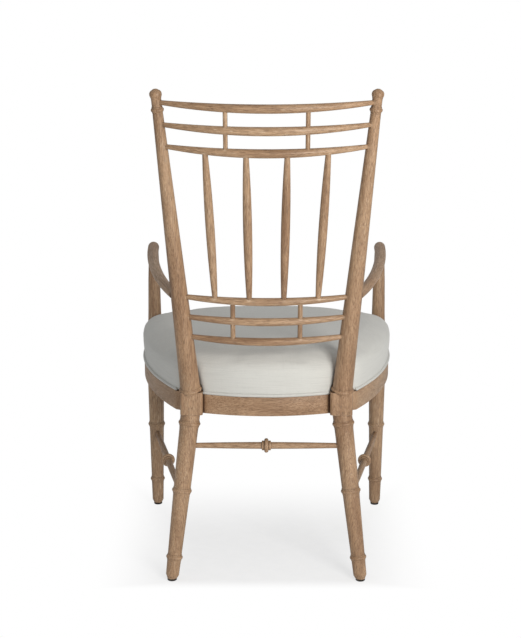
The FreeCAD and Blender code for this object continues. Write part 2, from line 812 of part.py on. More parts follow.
def arm_path(side):
    """Return the control points of an arm's axis, from the front post to the rear one."""
    front = on_front_post(side, value("Sizes.arm_front_height"))
    post = on_rear_post(side, value("Sizes.arm_rear_height"))
    rear = post + Vector(side * value("Sizes.arm_rear_outset"), -value("Sizes.arm_rear_ahead"), 0)
    fall = (post.z - front.z) / (post.y - front.y)
    lead = value("Sizes.arm_lead")
    reach = value("Sizes.arm_reach")
    near_front = front + Vector(-side * value("Sizes.arm_lead_drift"), lead, lead * fall)
    near_rear = rear + Vector(side * value("Sizes.arm_sweep"), -reach, -reach * fall)
    return [front, near_front, near_rear, rear]


class Arm:
    """A round arm that sweeps out from a rear post and forward over a front post."""

    def __init__(self, name, side, rear_post):
        self.name = name
        self.side = side
        self.curve = Part.BezierCurve()
        self.curve.setPoles(arm_path(side))
        self.front, self.rear = self.point(0), self.point(1)
        circles = []
        for step in range(ARM_STATIONS):
            share = step / (ARM_STATIONS - 1)
            circle = doc.addObject("Part::Circle", f"{name}_section")
            slack = round(share ** ARM_TAPER, 6)
            drop = "(Sizes.arm_front_radius - Sizes.arm_rear_radius)"
            bind(circle, Radius=f"Sizes.arm_front_radius - {drop} * {slack}")
            turn = facing(self.direction(share), Vector(0, 0, -1))
            circle.Placement = Placement(self.point(share), turn)
            circles.append(circle)
        loft = doc.addObject("Part::Loft", f"{name}_loft")
        loft.Sections = circles
        loft.Solid = True
        end = doc.addObject("Part::Sphere", f"{name}_end")
        bind(end, Radius="Sizes.arm_front_radius")
        end.Placement = Placement(self.front, Rotation())
        self.form = fuse(f"{name}_form", [loft, end])
        low = self.front - Vector(0, 0, value("Sizes.arm_front_radius"))
        self.front_socket = Socket(low, Vector(0, 0, 1),
                                   "Sizes.arm_tenon_radius", "Sizes.arm_tenon_length")
        axis = on_rear_post(side, self.rear.z)
        inward = (axis - self.rear).normalize()
        mouth = axis - inward * (rear_post.radius(self.rear.z)
                                + value("Sizes.arm_mouth_lead"))
        self.rear_socket = Socket(mouth, inward,
                                  "Sizes.arm_tenon_radius", "Sizes.arm_tenon_length")
        rear_post.sockets.append(self.rear_socket)
        coped = cut(f"{name}_coped", self.form, [rear_post.form])
        tenon = self.rear_socket.tenon(f"{name}_tenon")
        whole = fuse(f"{name}_whole", [coped, tenon])
        keep(drilled(name, whole, [self.front_socket]), name)

    def point(self, share):
        """Return the axis point at a share of the way, from front to rear."""
        return self.curve.value(share)

    def direction(self, share):
        """Return the axis direction at a share of the way."""
        return self.curve.tangent(share)[0]


# ---------------------------------------------------------------- stretchers


def stretcher(name, start, end, start_radius, end_radius):
    """Make a turned stretcher with a knob in the middle; return its two sockets."""
    direction = (end - start).normalize()
    left, right = start + direction * start_radius, end - direction * end_radius
    length = (right - left).Length
    middle = f"({length} / 2)"
    tip, body_radius = "Sizes.stretcher_end_radius", "Sizes.stretcher_radius"
    shoulder = "Sizes.knob_shoulder_radius"
    knob = "Sizes.knob_half_width"
    flank = f"({knob} + Sizes.knob_shoulder_width)"
    lip = f"{shoulder} + Sizes.knob_lip"
    swell = f"{tip} + ({body_radius} - {tip}) * Sizes.stretcher_end_swell"
    neck = f"{body_radius} - Sizes.stretcher_neck_drop"
    below = [
        (tip, "0", None),
        (swell, f"{length} * Sizes.stretcher_end_share", None),
        (neck, f"{length} * Sizes.stretcher_neck_share", None),
        (body_radius, f"{middle} - {flank}", None),
        (shoulder, f"{middle} - {flank}", None),
        (shoulder, f"{middle} - {knob}", "Sizes.knob_shoulder_bulge"),
        (lip, f"{middle} - {knob}", None),
    ]
    above = [
        (lip, f"{middle} + {knob}", f"Sizes.knob_radius - {shoulder} - Sizes.knob_lip"),
        (shoulder, f"{middle} + {knob}", None),
        (shoulder, f"{middle} + {flank}", "Sizes.knob_shoulder_bulge"),
        (body_radius, f"{middle} + {flank}", None),
        (neck, f"{length} * (1 - Sizes.stretcher_neck_share)", None),
        (swell, f"{length} * (1 - Sizes.stretcher_end_share)", None),
        (tip, f"{length}", None),
    ]
    body = turned(f"{name}_turning", below + above)
    body.Placement = Placement(left, along(left, right))
    sockets = [Socket(left, direction * -1, tip, "Sizes.stretcher_tenon"),
               Socket(right, direction, tip, "Sizes.stretcher_tenon")]
    keep(fuse(name, [body] + [s.tenon(f"{name}_tenon") for s in sockets]), name)
    return sockets


def make_stretchers(rear, front):
    """Make the four stretchers and add their sockets to the legs."""
    high = value("Sizes.rear_stretcher_height")
    low = value("Sizes.side_stretcher_height")
    ends = {post.name: on_rear_leg(post.side, high) for post in rear}
    ends.update({post.name: on_front_post(post.side, high) for post in front})
    for name, (left, right) in (("rear_stretcher", rear), ("front_stretcher", front)):
        first, second = stretcher(name, ends[left.name], ends[right.name],
                                  left.radius(high), right.radius(high))
        left.sockets.append(first)
        right.sockets.append(second)
    for (word, side), rear_post, front_post in zip(SIDES.items(), rear, front):
        first, second = stretcher(f"side_stretcher_{word}", on_front_post(side, low),
                                  on_rear_leg(side, low), front_post.radius(low),
                                  rear_post.radius(low))
        front_post.sockets.append(first)
        rear_post.sockets.append(second)


# ---------------------------------------------------------------- the seat's outline


def circle_through(first, second, sagitta):
    """Return the centre and radius of the arc from first to second with a sagitta.

    The arc bulges to the right of the way from first to second.
    """
    chord = second - first
    half = chord.Length / 2
    radius = (half * half + sagitta * sagitta) / (2 * sagitta)
    outward = Vector(chord.y, -chord.x, 0).normalize()
    return (first + second) * 0.5 - outward * (radius - sagitta), radius


def seat_arcs():
    """Return the four arcs of the seat's outline: rear, left, front and right."""
    rear_half = value("Sizes.rear_block_width / 2")
    front_half = value("Sizes.front_block_width / 2")
    block_x = value("Sizes.rear_block_spacing / 2")
    post_x = value("Sizes.front_post_spacing / 2")
    rear_in = Vector(block_x - rear_half, REAR_Y + value("Sizes.rear_rail_setback"), 0)
    side_rear = Vector(block_x + rear_half + value("Sizes.side_rail_proud"),
                       REAR_Y - value("Sizes.side_rail_ahead"), 0)
    side_front = Vector(post_x + front_half - value("Sizes.side_rail_front_inset"), FRONT_Y, 0)
    front_in = Vector(post_x - front_half, FRONT_Y - front_half, 0)

    def mirrored(point):
        return Vector(-point.x, point.y, 0)

    bows = {word: value(f"Sizes.{word}_rail_bow") for word in ("rear", "side", "front")}
    return [
        circle_through(rear_in, mirrored(rear_in), bows["rear"]),
        circle_through(side_front, side_rear, bows["side"]),
        circle_through(mirrored(front_in), front_in, bows["front"]),
        circle_through(mirrored(side_rear), mirrored(side_front), bows["side"]),
    ]


def crossing(first, second, near):
    """Return the point nearest to a place where two circles cross."""
    (a, ra), (b, rb) = first, second
    gap = (b - a).Length
    reach = (ra * ra - rb * rb + gap * gap) / (2 * gap)
    height = math.sqrt(ra * ra - reach * reach)
    unit = (b - a).normalize()
    foot = a + unit * reach
    swing = Vector(-unit.y, unit.x, 0) * height
    return min((foot + swing, foot - swing), key=lambda p: (p - near).Length)


def seat_corners(offset):
    """Return the outline's arcs, grown by an offset, and its four corners."""
    arcs = [(centre, radius + offset) for centre, radius in seat_arcs()]
    x, fx = value("Sizes.rear_block_spacing / 2"), value("Sizes.front_post_spacing / 2")
    near = [Vector(x, REAR_Y, 0), Vector(fx, FRONT_Y, 0),
            Vector(-fx, FRONT_Y, 0), Vector(-x, REAR_Y, 0)]
    return arcs, [crossing(arcs[n], arcs[(n + 1) % 4], near[n]) for n in range(4)]


def outline_sketch(body, name, offset):
    """Sketch the seat's outline, grown by an offset, as four arcs."""
    sketch = body.newObject("Sketcher::SketchObject", name)
    plane = next(f for f in body.Origin.OriginFeatures if f.Role == "XY_Plane")
    sketch.AttachmentSupport = [(plane, "")]
    sketch.MapMode = "FlatFace"
    arcs, corners = seat_corners(value(offset))
    plain, _ = seat_corners(0)
    for n, (centre, radius) in enumerate(arcs):
        ends = [corners[n - 1], corners[n]]
        angles = sorted_angles(centre, ends)
        circle = Part.Circle(centre, Vector(0, 0, 1), radius)
        sketch.addGeometry(Part.ArcOfCircle(circle, *angles), False)
    for n, (centre, radius) in enumerate(plain):
        start = nearest_end(sketch, n, corners[n])
        following = (n + 1) % 4
        other = nearest_end(sketch, following, corners[n])
        sketch.addConstraint(Sketcher.Constraint("Coincident", n, start, following, other))
        sketch.addConstraint(Sketcher.Constraint("DistanceX", -1, 1, n, 3, centre.x))
        sketch.addConstraint(Sketcher.Constraint("DistanceY", -1, 1, n, 3, centre.y))
        size = sketch.addConstraint(Sketcher.Constraint("Radius", n, arcs[n][1]))
        sketch.setExpression(f"Constraints[{size}]", f"{radius} + {offset}")
    return sketch


def sorted_angles(centre, ends):
    """Return the start and end angles of the shorter arc between two points."""
    angles = [math.atan2(p.y - centre.y, p.x - centre.x) for p in ends]
    first, second = sorted(angles)
    if second - first > math.pi:
        first, second = second, first + 2 * math.pi
    return first, second


def nearest_end(sketch, index, point):
    """Return 1 or 2: the arc end that lies at a point."""
    arc = sketch.Geometry[index]
    start, end = (arc.StartPoint - point).Length, (arc.EndPoint - point).Length
    return 1 if start < end else 2


def slab(name, low, height, offset):
    """Make a plate of the seat's outline, grown by an offset, from a height up."""
    body = doc.addObject("PartDesign::Body", name)
    sketch = outline_sketch(body, f"{name}_outline", offset)
    pad = body.newObject("PartDesign::Pad", f"{name}_pad")
    pad.Profile = sketch
    bind(pad, Length=height)
    body.Tip = pad
    body.Placement = Placement(Vector(0, 0, value(low)), Rotation())
    return body


def pillow(name, low, height, offset, rounding):
    """Make a plate of the seat's outline with a rounded top edge."""
    body = slab(name, low, height, offset)
    doc.recompute()
    pad = body.Tip
    upright = [f"Edge{n}" for n, edge in enumerate(pad.Shape.Edges, 1)
               if abs(edge.tangentAt(edge.FirstParameter).z) > UPRIGHT]
    corners = body.newObject("PartDesign::Fillet", f"{name}_corners")
    corners.Base = (pad, upright)
    bind(corners, Radius=f"({rounding}) + Sizes.cushion_corner_extra")
    doc.recompute()
    top = value(height)
    rim = [f"Edge{n}" for n, edge in enumerate(corners.Shape.Edges, 1)
           if all(abs(corner.Z - top) < LEVEL for corner in edge.Vertexes)]
    edge = body.newObject("PartDesign::Fillet", f"{name}_rounding")
    edge.Base = (corners, rim)
    bind(edge, Radius=rounding)
    body.Tip = edge
    return body


# ---------------------------------------------------------------- seat frame

RAIL_TOP = "(Sizes.seat_rail_bottom + Sizes.seat_rail_height)"
FAR = 400.0             # past the chair in every direction in plan
RAIL_REGION = 60.0      # how far the end rails' share of the band reaches in past the posts' axes


def seat_ring():
    """Make the closed band that the four seat rails are parts of."""
    outer = slab("seat_ring_outer", "Sizes.seat_rail_bottom", "Sizes.seat_rail_height", "0")
    inner = slab("seat_ring_inner", "Sizes.seat_rail_bottom - Sizes.cutter_past",
                 "Sizes.seat_rail_height + 2 * Sizes.cutter_past",
                 "0 - Sizes.seat_rail_thickness")
    return cut("seat_ring", outer, [inner])


def region(name, low, high):
    """Make an upright box between two plan corners, past the rails' height."""
    block = doc.addObject("Part::Box", name)
    block.Length = abs(high.x - low.x)
    block.Width = abs(high.y - low.y)
    bind(block, Height="Sizes.seat_rail_height + 2 * Sizes.cutter_past")
    corner = Vector(min(low.x, high.x), min(low.y, high.y),
                    value("Sizes.seat_rail_bottom - Sizes.cutter_past"))
    block.Placement = Placement(corner, Rotation())
    return block


def common(name, base, tool):
    """Keep what two shapes share."""
    shared = doc.addObject("Part::Common", name)
    shared.Base = base
    shared.Tool = tool
    return shared


def flat_tenon(name, mouth, direction, clearance="0", extra="0"):
    """Make a flat tenon, or with a clearance its mortise cutter, across a rail's end."""
    height = value("Sizes.seat_rail_bottom + Sizes.seat_rail_height / 2")
    length = f"Sizes.rail_tenon_length + Sizes.rail_tenon_root + {extra}"
    inward = Vector(direction.x, direction.y, 0).normalize()
    reach = value(f"({length}) / 2 - Sizes.rail_tenon_root")
    middle = Vector(mouth.x, mouth.y, height) + inward * reach
    turn = math.degrees(math.atan2(inward.y, inward.x))
    return box(name, middle, turn, length, f"Sizes.rail_tenon_thickness + 2 * {clearance}",
               f"Sizes.rail_tenon_height + 2 * {clearance}")


def on_arc(arc, y):
    """Return the point with x > 0 at a y on the middle line of a rail's arc."""
    centre, radius = arc
    middle_radius = radius - value("Sizes.seat_rail_thickness / 2")
    return Vector(centre.x + math.sqrt(middle_radius ** 2 - (y - centre.y) ** 2), y, 0)


def seat_joints():
    """Return each rail joint on the left side: post, rail, mouth and direction inward."""
    arcs, _ = seat_corners(0)
    rear_half = value("Sizes.rear_block_width / 2")
    front_half = value("Sizes.front_block_width / 2")
    block_x = value("Sizes.rear_block_spacing / 2")
    post_x = value("Sizes.front_post_spacing / 2")
    into_rear = Vector(block_x - rear_half, REAR_Y - value("Sizes.rear_tenon_ahead"), 0)
    side_rear = on_arc(arcs[1], REAR_Y - rear_half)
    radial = side_rear - arcs[1][0]
    side_rear.x -= value("Sizes.rail_tenon_shift")
    side_front = on_arc(arcs[1], FRONT_Y + front_half)
    into_front = Vector(post_x - front_half, FRONT_Y - value("Sizes.front_tenon_ahead"), 0)
    return [
        ("rear", "rear", into_rear, Vector(1, 0, 0)),
        ("rear", "side", side_rear, Vector(-radial.y, radial.x, 0)),
        ("front", "side", side_front, Vector(0, -1, 0)),
        ("front", "front", into_front, Vector(1, 0, 0)),
    ]


def make_seat_frame(rear, front):
    """Make the four seat rails with their tenons, and cut the blocks' mortises."""
    band = seat_ring()
    rear_in = value("Sizes.rear_block_spacing / 2 - Sizes.rear_block_width / 2")
    front_in = value("Sizes.front_post_spacing / 2 - Sizes.front_block_width / 2")
    side_front = FRONT_Y + value("Sizes.front_block_width / 2")
    block_x = value("Sizes.rear_block_spacing / 2")
    tenons = {"rear": [], "front": [], "left": [], "right": []}
    for word, side in SIDES.items():
        for post_kind, rail_kind, mouth, inward in seat_joints():
            spot = Vector(mouth.x * side, mouth.y, 0)
            way = Vector(inward.x * side, inward.y, 0)
            post = (rear if post_kind == "rear" else front)[0 if side > 0 else 1]
            rail = word if rail_kind == "side" else rail_kind
            tenons[rail].append(flat_tenon(f"{rail}_rail_tenon", spot, way))
            post.cutters.append(flat_tenon(f"{post.name}_rail_mortise", spot, way,
                                           "Sizes.joint_clearance", "Sizes.mortise_extra"))
    middle = common("rear_rail_band", band, region(
        "rear_rail_region", Vector(-rear_in, REAR_Y - RAIL_REGION, 0), Vector(rear_in, FAR, 0)))
    rails = {"rear": middle}
    rails["front"] = common("front_rail_band", band, region(
        "front_rail_region", Vector(-front_in, -FAR, 0),
        Vector(front_in, FRONT_Y + RAIL_REGION, 0)))
    for word, side in SIDES.items():
        strip = common(f"{word}_rail_band", band, region(
            f"{word}_rail_region", Vector(side * block_x, side_front, 0),
            Vector(side * FAR, REAR_Y - value("Sizes.side_rail_stop"), 0)))
        block = rear[0 if side > 0 else 1].block
        rails[word] = cut(f"{word}_rail_strip", strip, [block])
    names = {"rear": "rear_seat_rail", "front": "front_seat_rail",
             "left": "side_seat_rail_left", "right": "side_seat_rail_right"}
    wholes = {key: fuse(f"{names[key]}_whole", [rails[key]] + tenons[key]) for key in rails}
    return names, wholes


# ---------------------------------------------------------------- corner blocks and screws


SINK_REACH = 30.0       # how far a sunk head's cutter runs back out of the wood
PAST_POST = 30.0        # a corner block's plan before it is fitted, past a post's axis
PAST_CORNER = 20.0


def screw_stations(length):
    """Return the stations of a countersunk screw, from its head to its tip."""
    radius = "Sizes.screw_radius"
    return [
        ("Sizes.screw_head_radius", "0", None),
        ("Sizes.screw_head_radius", "Sizes.screw_head_rim", None),
        (radius, "Sizes.screw_head_height", None),
        (radius, f"{length} - Sizes.screw_point_length", None),
        ("Sizes.screw_point_radius", length, None),
    ]


class Screw:
    """A wood screw from a head point along a direction."""

    def __init__(self, name, head, inward, length):
        self.name = name
        self.head = head
        self.inward = Vector(inward).normalize()
        self.length = length

    def form(self):
        """Make the screw."""
        body = turned(self.name, screw_stations(self.length))
        body.Placement = Placement(self.head, Rotation(Vector(0, 0, 1), self.inward))
        return body

    def hole(self, name):
        """Make the cutter for the screw's pilot hole and its sunk head."""
        gap = "Sizes.joint_clearance"
        end = self.head + self.inward * (value(self.length) + value("Sizes.mortise_extra"))
        shank = cylinder(f"{name}_shank", self.head, end, f"Sizes.screw_radius + {gap}")
        mouth = self.head - self.inward * SINK_REACH
        seat = self.head + self.inward * value("Sizes.screw_head_height")
        head = cylinder(f"{name}_sink", mouth, seat, f"Sizes.screw_head_radius + {gap}")
        return fuse(name, [shank, head])


def prism(name, corners, low, height):
    """Make an upright prism over a plan polygon."""
    body = doc.addObject("PartDesign::Body", name)
    sketch = body.newObject("Sketcher::SketchObject", f"{name}_plan")
    plane = next(f for f in body.Origin.OriginFeatures if f.Role == "XY_Plane")
    sketch.AttachmentSupport = [(plane, "")]
    sketch.MapMode = "FlatFace"
    count = len(corners)
    for n in range(count):
        sketch.addGeometry(Part.LineSegment(corners[n], corners[(n + 1) % count]), False)
    for n, corner in enumerate(corners):
        sketch.addConstraint(Sketcher.Constraint("Coincident", n, 2, (n + 1) % count, 1))
        sketch.addConstraint(Sketcher.Constraint("DistanceX", -1, 1, n, 1, corner.x))
        sketch.addConstraint(Sketcher.Constraint("DistanceY", -1, 1, n, 1, corner.y))
    pad = body.newObject("PartDesign::Pad", f"{name}_pad")
    pad.Profile = sketch
    bind(pad, Length=height)
    body.Tip = pad
    body.Placement = Placement(Vector(0, 0, value(low)), Rotation())
    return body


def corner_plan(post, place):
    """Return a corner block's plan: its long side first, then past the rails."""
    centre = post.block.Placement.Base
    ahead = 1 if place == "front" else -1
    across = value(f"Sizes.{place}_corner_block_across")
    behind = value(f"Sizes.{place}_corner_block_behind") * -ahead
    forward = value(f"Sizes.{place}_corner_block_ahead") * ahead
    outer = centre.x + post.side * PAST_POST
    inner = centre.x - post.side * across
    return [
        Vector(inner, centre.y + behind, 0),
        Vector(outer, centre.y + forward, 0),
        Vector(outer + post.side * PAST_CORNER, centre.y + forward, 0),
        Vector(outer + post.side * PAST_CORNER, centre.y + 2 * behind, 0),
        Vector(inner, centre.y + 2 * behind, 0),
    ]


def toe(name, post, low, height):
    """Make the part of a rear corner block that bears on its square block's front face."""
    half = value("Sizes.rear_block_width / 2")
    depth = "Sizes.seat_rail_thickness / 2"
    inner = post.block.Placement.Base.x - post.side * half
    gap = value("Sizes.corner_block_clearance")
    middle = Vector(inner + post.side * (value("Sizes.corner_block_toe") / 2 + gap),
                    REAR_Y - half - value(depth) / 2 + gap, value(f"{low} + ({height}) / 2"))
    return box(name, middle, 0, "Sizes.corner_block_toe", depth, height)


def rail_inside(arc, spot, way):
    """Return where a level line from a spot meets the inner face of a rail."""
    centre, radius = arc
    reach = radius - value("Sizes.seat_rail_thickness")
    offset = spot - centre
    along_way = offset.dot(way)
    root = math.sqrt(along_way ** 2 - offset.dot(offset) + reach ** 2)
    return spot + way * (root - along_way)


# Where the two rail screws and the seat screw sit along a corner block's long side.
SCREW_SHARES = {"rear": (0.42, 0.85, 0.55), "front": (0.25, 0.62, 0.55)}
SEAT_SCREW_INSET = 0.28


def make_corner_blocks(rear, front):
    """Make the four corner blocks; return the rail screws and the seat screws."""
    rail_screws, seat_screws = [], []
    arcs, _ = seat_corners(0)
    inside = slab("corner_block_bounds", "Sizes.seat_rail_bottom", "Sizes.seat_rail_height",
                  "0 - Sizes.seat_rail_thickness - Sizes.corner_block_clearance")
    low = "(Sizes.seat_rail_bottom + Sizes.corner_block_rise)"
    tall = f"{RAIL_TOP} - {low}"
    middle = value(f"({RAIL_TOP} + {low}) / 2")
    bite = value("Sizes.rail_screw_length - Sizes.rail_screw_bite")
    for place, posts, end_arc in (("rear", rear, arcs[0]), ("front", front, arcs[2])):
        for post in posts:
            word = "left" if post.side > 0 else "right"
            name = f"corner_block_{place}_{word}"
            plan = corner_plan(post, place)
            first, run = plan[0], plan[1] - plan[0]
            wedge = prism(f"{name}_wedge", plan, low, tall)
            within = common(f"{name}_within", wedge, inside)
            if place == "rear":
                within = fuse(f"{name}_toed", [within, toe(f"{name}_toe", post, low, tall)])
            fitted = cut(f"{name}_fitted", within, [post.block])
            shares = SCREW_SHARES[place]
            side_arc = arcs[1] if post.side > 0 else arcs[3]
            screws = []
            for share, arc, way in (
                    (shares[0], end_arc, Vector(0, 1 if place == "rear" else -1, 0)),
                    (shares[1], side_arc, Vector(post.side, 0, 0))):
                face = rail_inside(arc, first + run * share, way)
                head = Vector(face.x, face.y, middle) - way * bite
                screws.append(Screw(f"{name}_screw", head, way, "Sizes.rail_screw_length"))
            inner = first + run * shares[2]
            centre = post.block.Placement.Base
            spot = inner + (Vector(centre.x, centre.y, 0) - inner) * SEAT_SCREW_INSET
            recess = value(f"{low} + Sizes.seat_screw_recess")
            seat = Screw(f"{name}_seat_screw", Vector(spot.x, spot.y, recess),
                         Vector(0, 0, 1), "Sizes.seat_screw_length")
            holes = [screw.hole(f"{name}_hole") for screw in screws + [seat]]
            keep(cut(name, fitted, holes), name)
            rail_screws += screws
            seat_screws.append(seat)
    return rail_screws, seat_screws


def compound(name, things):
    """Group separate solids that share one node."""
    group = doc.addObject("Part::Compound", name)
    group.Links = things
    return keep(group, name)


# ---------------------------------------------------------------- upholstered seat


NOTCH_RISE = 200.0      # how far a notch's cutter rises over a block
OUTER_NOTCH = 1.5       # a front notch's depth at the corner, in block widths


def notches(name, rear, front, gap):
    """Make the cutters that let a seat layer clear the blocks and the posts."""
    cutters = []
    for post in front + rear:
        width = "Sizes.front_block_width" if post in front else "Sizes.rear_block_width"
        centre = post.block.Placement.Base
        high = "Sizes.block_height" if post in rear else f"Sizes.block_height + {NOTCH_RISE}"
        lift = 0 if post in rear else NOTCH_RISE / 2
        square = box(f"{name}_notch", centre + Vector(0, 0, lift), 0,
                     f"{width} + 2 * {gap}", f"{width} + 2 * {gap}", f"{high} + 2 * {gap}")
        cutters.append(square)
        if post in rear:
            start, end = rear_knee(post.side), on_rear_post(post.side, BLOCK_MIDDLE + NOTCH_RISE)
            cutters.append(cylinder(f"{name}_round_notch", start, end,
                                    f"{POST_FOOT} + Sizes.ring_proud + {gap}"
                                    " + Sizes.round_notch_gap"))
        else:
            ahead = (OUTER_NOTCH - 1) / 2 * value(width)
            spot = centre + Vector(post.side * value(width) / 2, -ahead, NOTCH_RISE / 2)
            cutters.append(box(f"{name}_outer_notch", spot, 0,
                               f"{width} + 2 * {gap}", f"{OUTER_NOTCH} * {width} + 2 * {gap}",
                               f"Sizes.block_height + {NOTCH_RISE} + 2 * {gap}"))
    return cutters


def make_seat(rear, front, seat_screws):
    """Make the board, the foam, the cover, the welt and the dust cover."""
    gap = "Sizes.notch_gap"
    board = slab("seat_board_plate", RAIL_TOP, "Sizes.board_thickness", "0 - Sizes.board_inset")
    inner_gap = f"({gap} + Sizes.cover_thickness)"
    foam_gap = f"({inner_gap} + Sizes.foam_notch_gap)"
    cutters = notches("seat_board", rear, front, foam_gap)
    cutters += [screw.hole("seat_board_hole") for screw in seat_screws]
    keep(cut("seat_board", board, cutters), "seat_board")

    foam_low = f"{RAIL_TOP} + Sizes.board_thickness"
    foam_rise = "Sizes.foam_height - Sizes.board_thickness"
    foam = pillow("seat_foam_pad", foam_low, foam_rise, "0 - Sizes.foam_inset",
                  "(Sizes.cushion_rounding - Sizes.cover_thickness)")
    keep(cut("seat_foam", foam, notches("seat_foam", rear, front, foam_gap)), "seat_foam")

    cover_low = f"({RAIL_TOP} + 2 * Sizes.welt_radius + Sizes.cover_gap)"
    hollow_high = f"{RAIL_TOP} + Sizes.foam_height + Sizes.cover_gap"
    cover_rise = f"{hollow_high} + Sizes.cover_thickness - {cover_low}"
    outer = pillow("seat_cover_outside", cover_low, cover_rise, "Sizes.cover_overhang",
                   "Sizes.cushion_rounding")
    shell = cut("seat_cover_block", outer, notches("seat_cover", rear, front, gap))
    inner = pillow("seat_cover_inside", f"{cover_low} - Sizes.cutter_past",
                   f"{hollow_high} - {cover_low} + Sizes.cutter_past",
                   "(Sizes.cover_overhang - Sizes.cover_thickness)",
                   "(Sizes.cushion_rounding - Sizes.cover_thickness)")
    hollow = cut("seat_cover_hollow", inner, notches("seat_hollow", rear, front, inner_gap))
    keep(cut("seat_cover", shell, [hollow]), "seat_cover")
    make_welts()

    sheet_low = "Sizes.seat_rail_bottom - Sizes.dust_cover_thickness"
    sheet_plate = slab("dust_cover_sheet", sheet_low, "Sizes.dust_cover_thickness",
                       "0 - Sizes.dust_cover_inset")
    keep(cut("dust_cover", sheet_plate, notches("dust_cover", rear, front,
                                           f"({gap} + Sizes.dust_cover_notch)")), "dust_cover")


def welt_ends():
    """Return the two plan points between which each run of welt lies, rear run first."""
    arcs, _ = seat_corners(0)
    gap = value("Sizes.notch_gap")
    slant = value("Sizes.welt_radius / 2")
    rear_x = value("Sizes.rear_block_spacing / 2 - Sizes.rear_block_width / 2") - gap - slant
    front_x = value("Sizes.front_post_spacing / 2 - Sizes.front_block_width / 2") - gap
    rear_y = REAR_Y - value("Sizes.rear_block_width / 2") - gap
    front_y = FRONT_Y + value("Sizes.front_block_width / 2") + gap
    (rear_centre, rear_radius), (side_centre, side_radius) = arcs[0], arcs[1]
    front_centre, front_radius = arcs[2]

    def at_y(y):
        return Vector(side_centre.x + math.sqrt(side_radius ** 2 - (y - side_centre.y) ** 2), y, 0)

    back = Vector(rear_x, rear_centre.y + math.sqrt(rear_radius ** 2 - rear_x ** 2), 0)
    fore = Vector(front_x, front_centre.y - math.sqrt(front_radius ** 2 - front_x ** 2), 0)
    mirror = [Vector(-p.x, p.y, 0) for p in (back, at_y(rear_y), at_y(front_y), fore)]
    return [(back, mirror[0]), (at_y(rear_y), at_y(front_y)), (fore, mirror[3]),
            (mirror[1], mirror[2])]


def make_welts():
    """Make the four runs of welt cord on the rails' top edge."""
    arcs, _ = seat_corners(0)
    height = value(f"{RAIL_TOP} + Sizes.welt_radius")
    for word, (centre, radius), ends in zip(("rear", "left", "front", "right"), arcs, welt_ends()):
        start, end = sorted_angles(centre, ends)
        cord = doc.addObject("Part::Torus", f"welt_{word}")
        cord.Radius1 = radius
        bind(cord, Radius2="Sizes.welt_radius")
        cord.Angle3 = math.degrees(end - start)
        spin = Rotation(Vector(0, 0, 1), math.degrees(start))
        cord.Placement = Placement(Vector(centre.x, centre.y, height), spin)
        keep(cord, f"welt_{word}")


# ---------------------------------------------------------------- the chair


def make_chair():
    """Make every sub-part."""
    rear = [RearPost(f"rear_post_{word}", side) for word, side in SIDES.items()]
    front = [FrontPost(f"front_post_{word}", side) for word, side in SIDES.items()]
    make_back(rear)
    make_stretchers(rear, front)
    arms = [Arm(f"arm_{word}", side, post) for (word, side), post in zip(SIDES.items(), rear)]
    rail_names, rail_wholes = make_seat_frame(rear, front)
    rail_screws, seat_screws = make_corner_blocks(rear, front)
    for key, name in rail_names.items():
        near = [s for s in rail_screws if screw_meets(s, key)]
        holes = [screw.hole(f"{name}_hole") for screw in near]
        keep(cut(name, rail_wholes[key], holes), name)
    compound("corner_block_screws", [screw.form() for screw in rail_screws])
    compound("seat_screws", [screw.form() for screw in seat_screws])
    make_seat(rear, front, seat_screws)
    for post in rear:
        spot = on_rear_leg(post.side, value("Sizes.glide_height"))
        post.sockets.append(glide(post.name.replace("post", "glide"), Vector(spot.x, spot.y, 0)))
        post.finish()
    for post, arm in zip(front, arms):
        post.sockets.append(glide(post.name.replace("post", "glide"), on_front_post(post.side, 0)))
        post.finish(arm)


def screw_meets(screw, rail):
    """Say whether a corner screw runs into a rail."""
    if rail in SIDES:
        return screw.inward.x * SIDES[rail] > 0.5
    return screw.inward.y > 0.5 if rail == "rear" else screw.inward.y < -0.5


def check_document():
    """Stop if any object failed or any sub-part is not a valid shape."""
    for thing in doc.Objects:
        bad = [word for word in thing.State if word in ("Invalid", "Error")]
        if bad:
            raise RuntimeError(f"{thing.Name} ({thing.Label}) is {bad}")
    for part in parts:
        if part.Shape.isNull() or not part.Shape.isValid() or not part.Shape.Solids:
            raise RuntimeError(f"{part.Label} has no valid solid")


make_chair()
doc.recompute()
check_document()
os.makedirs("parts", exist_ok=True)
for part in parts:
    part.Shape.exportStep(f"parts/{part.Label}.step")
print(f"{len(parts)} parts written")
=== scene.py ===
import math
import random

import bmesh
import bpy
import numpy as np
from mathutils import Euler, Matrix, Vector, geometry, noise
from mathutils.bvhtree import BVHTree


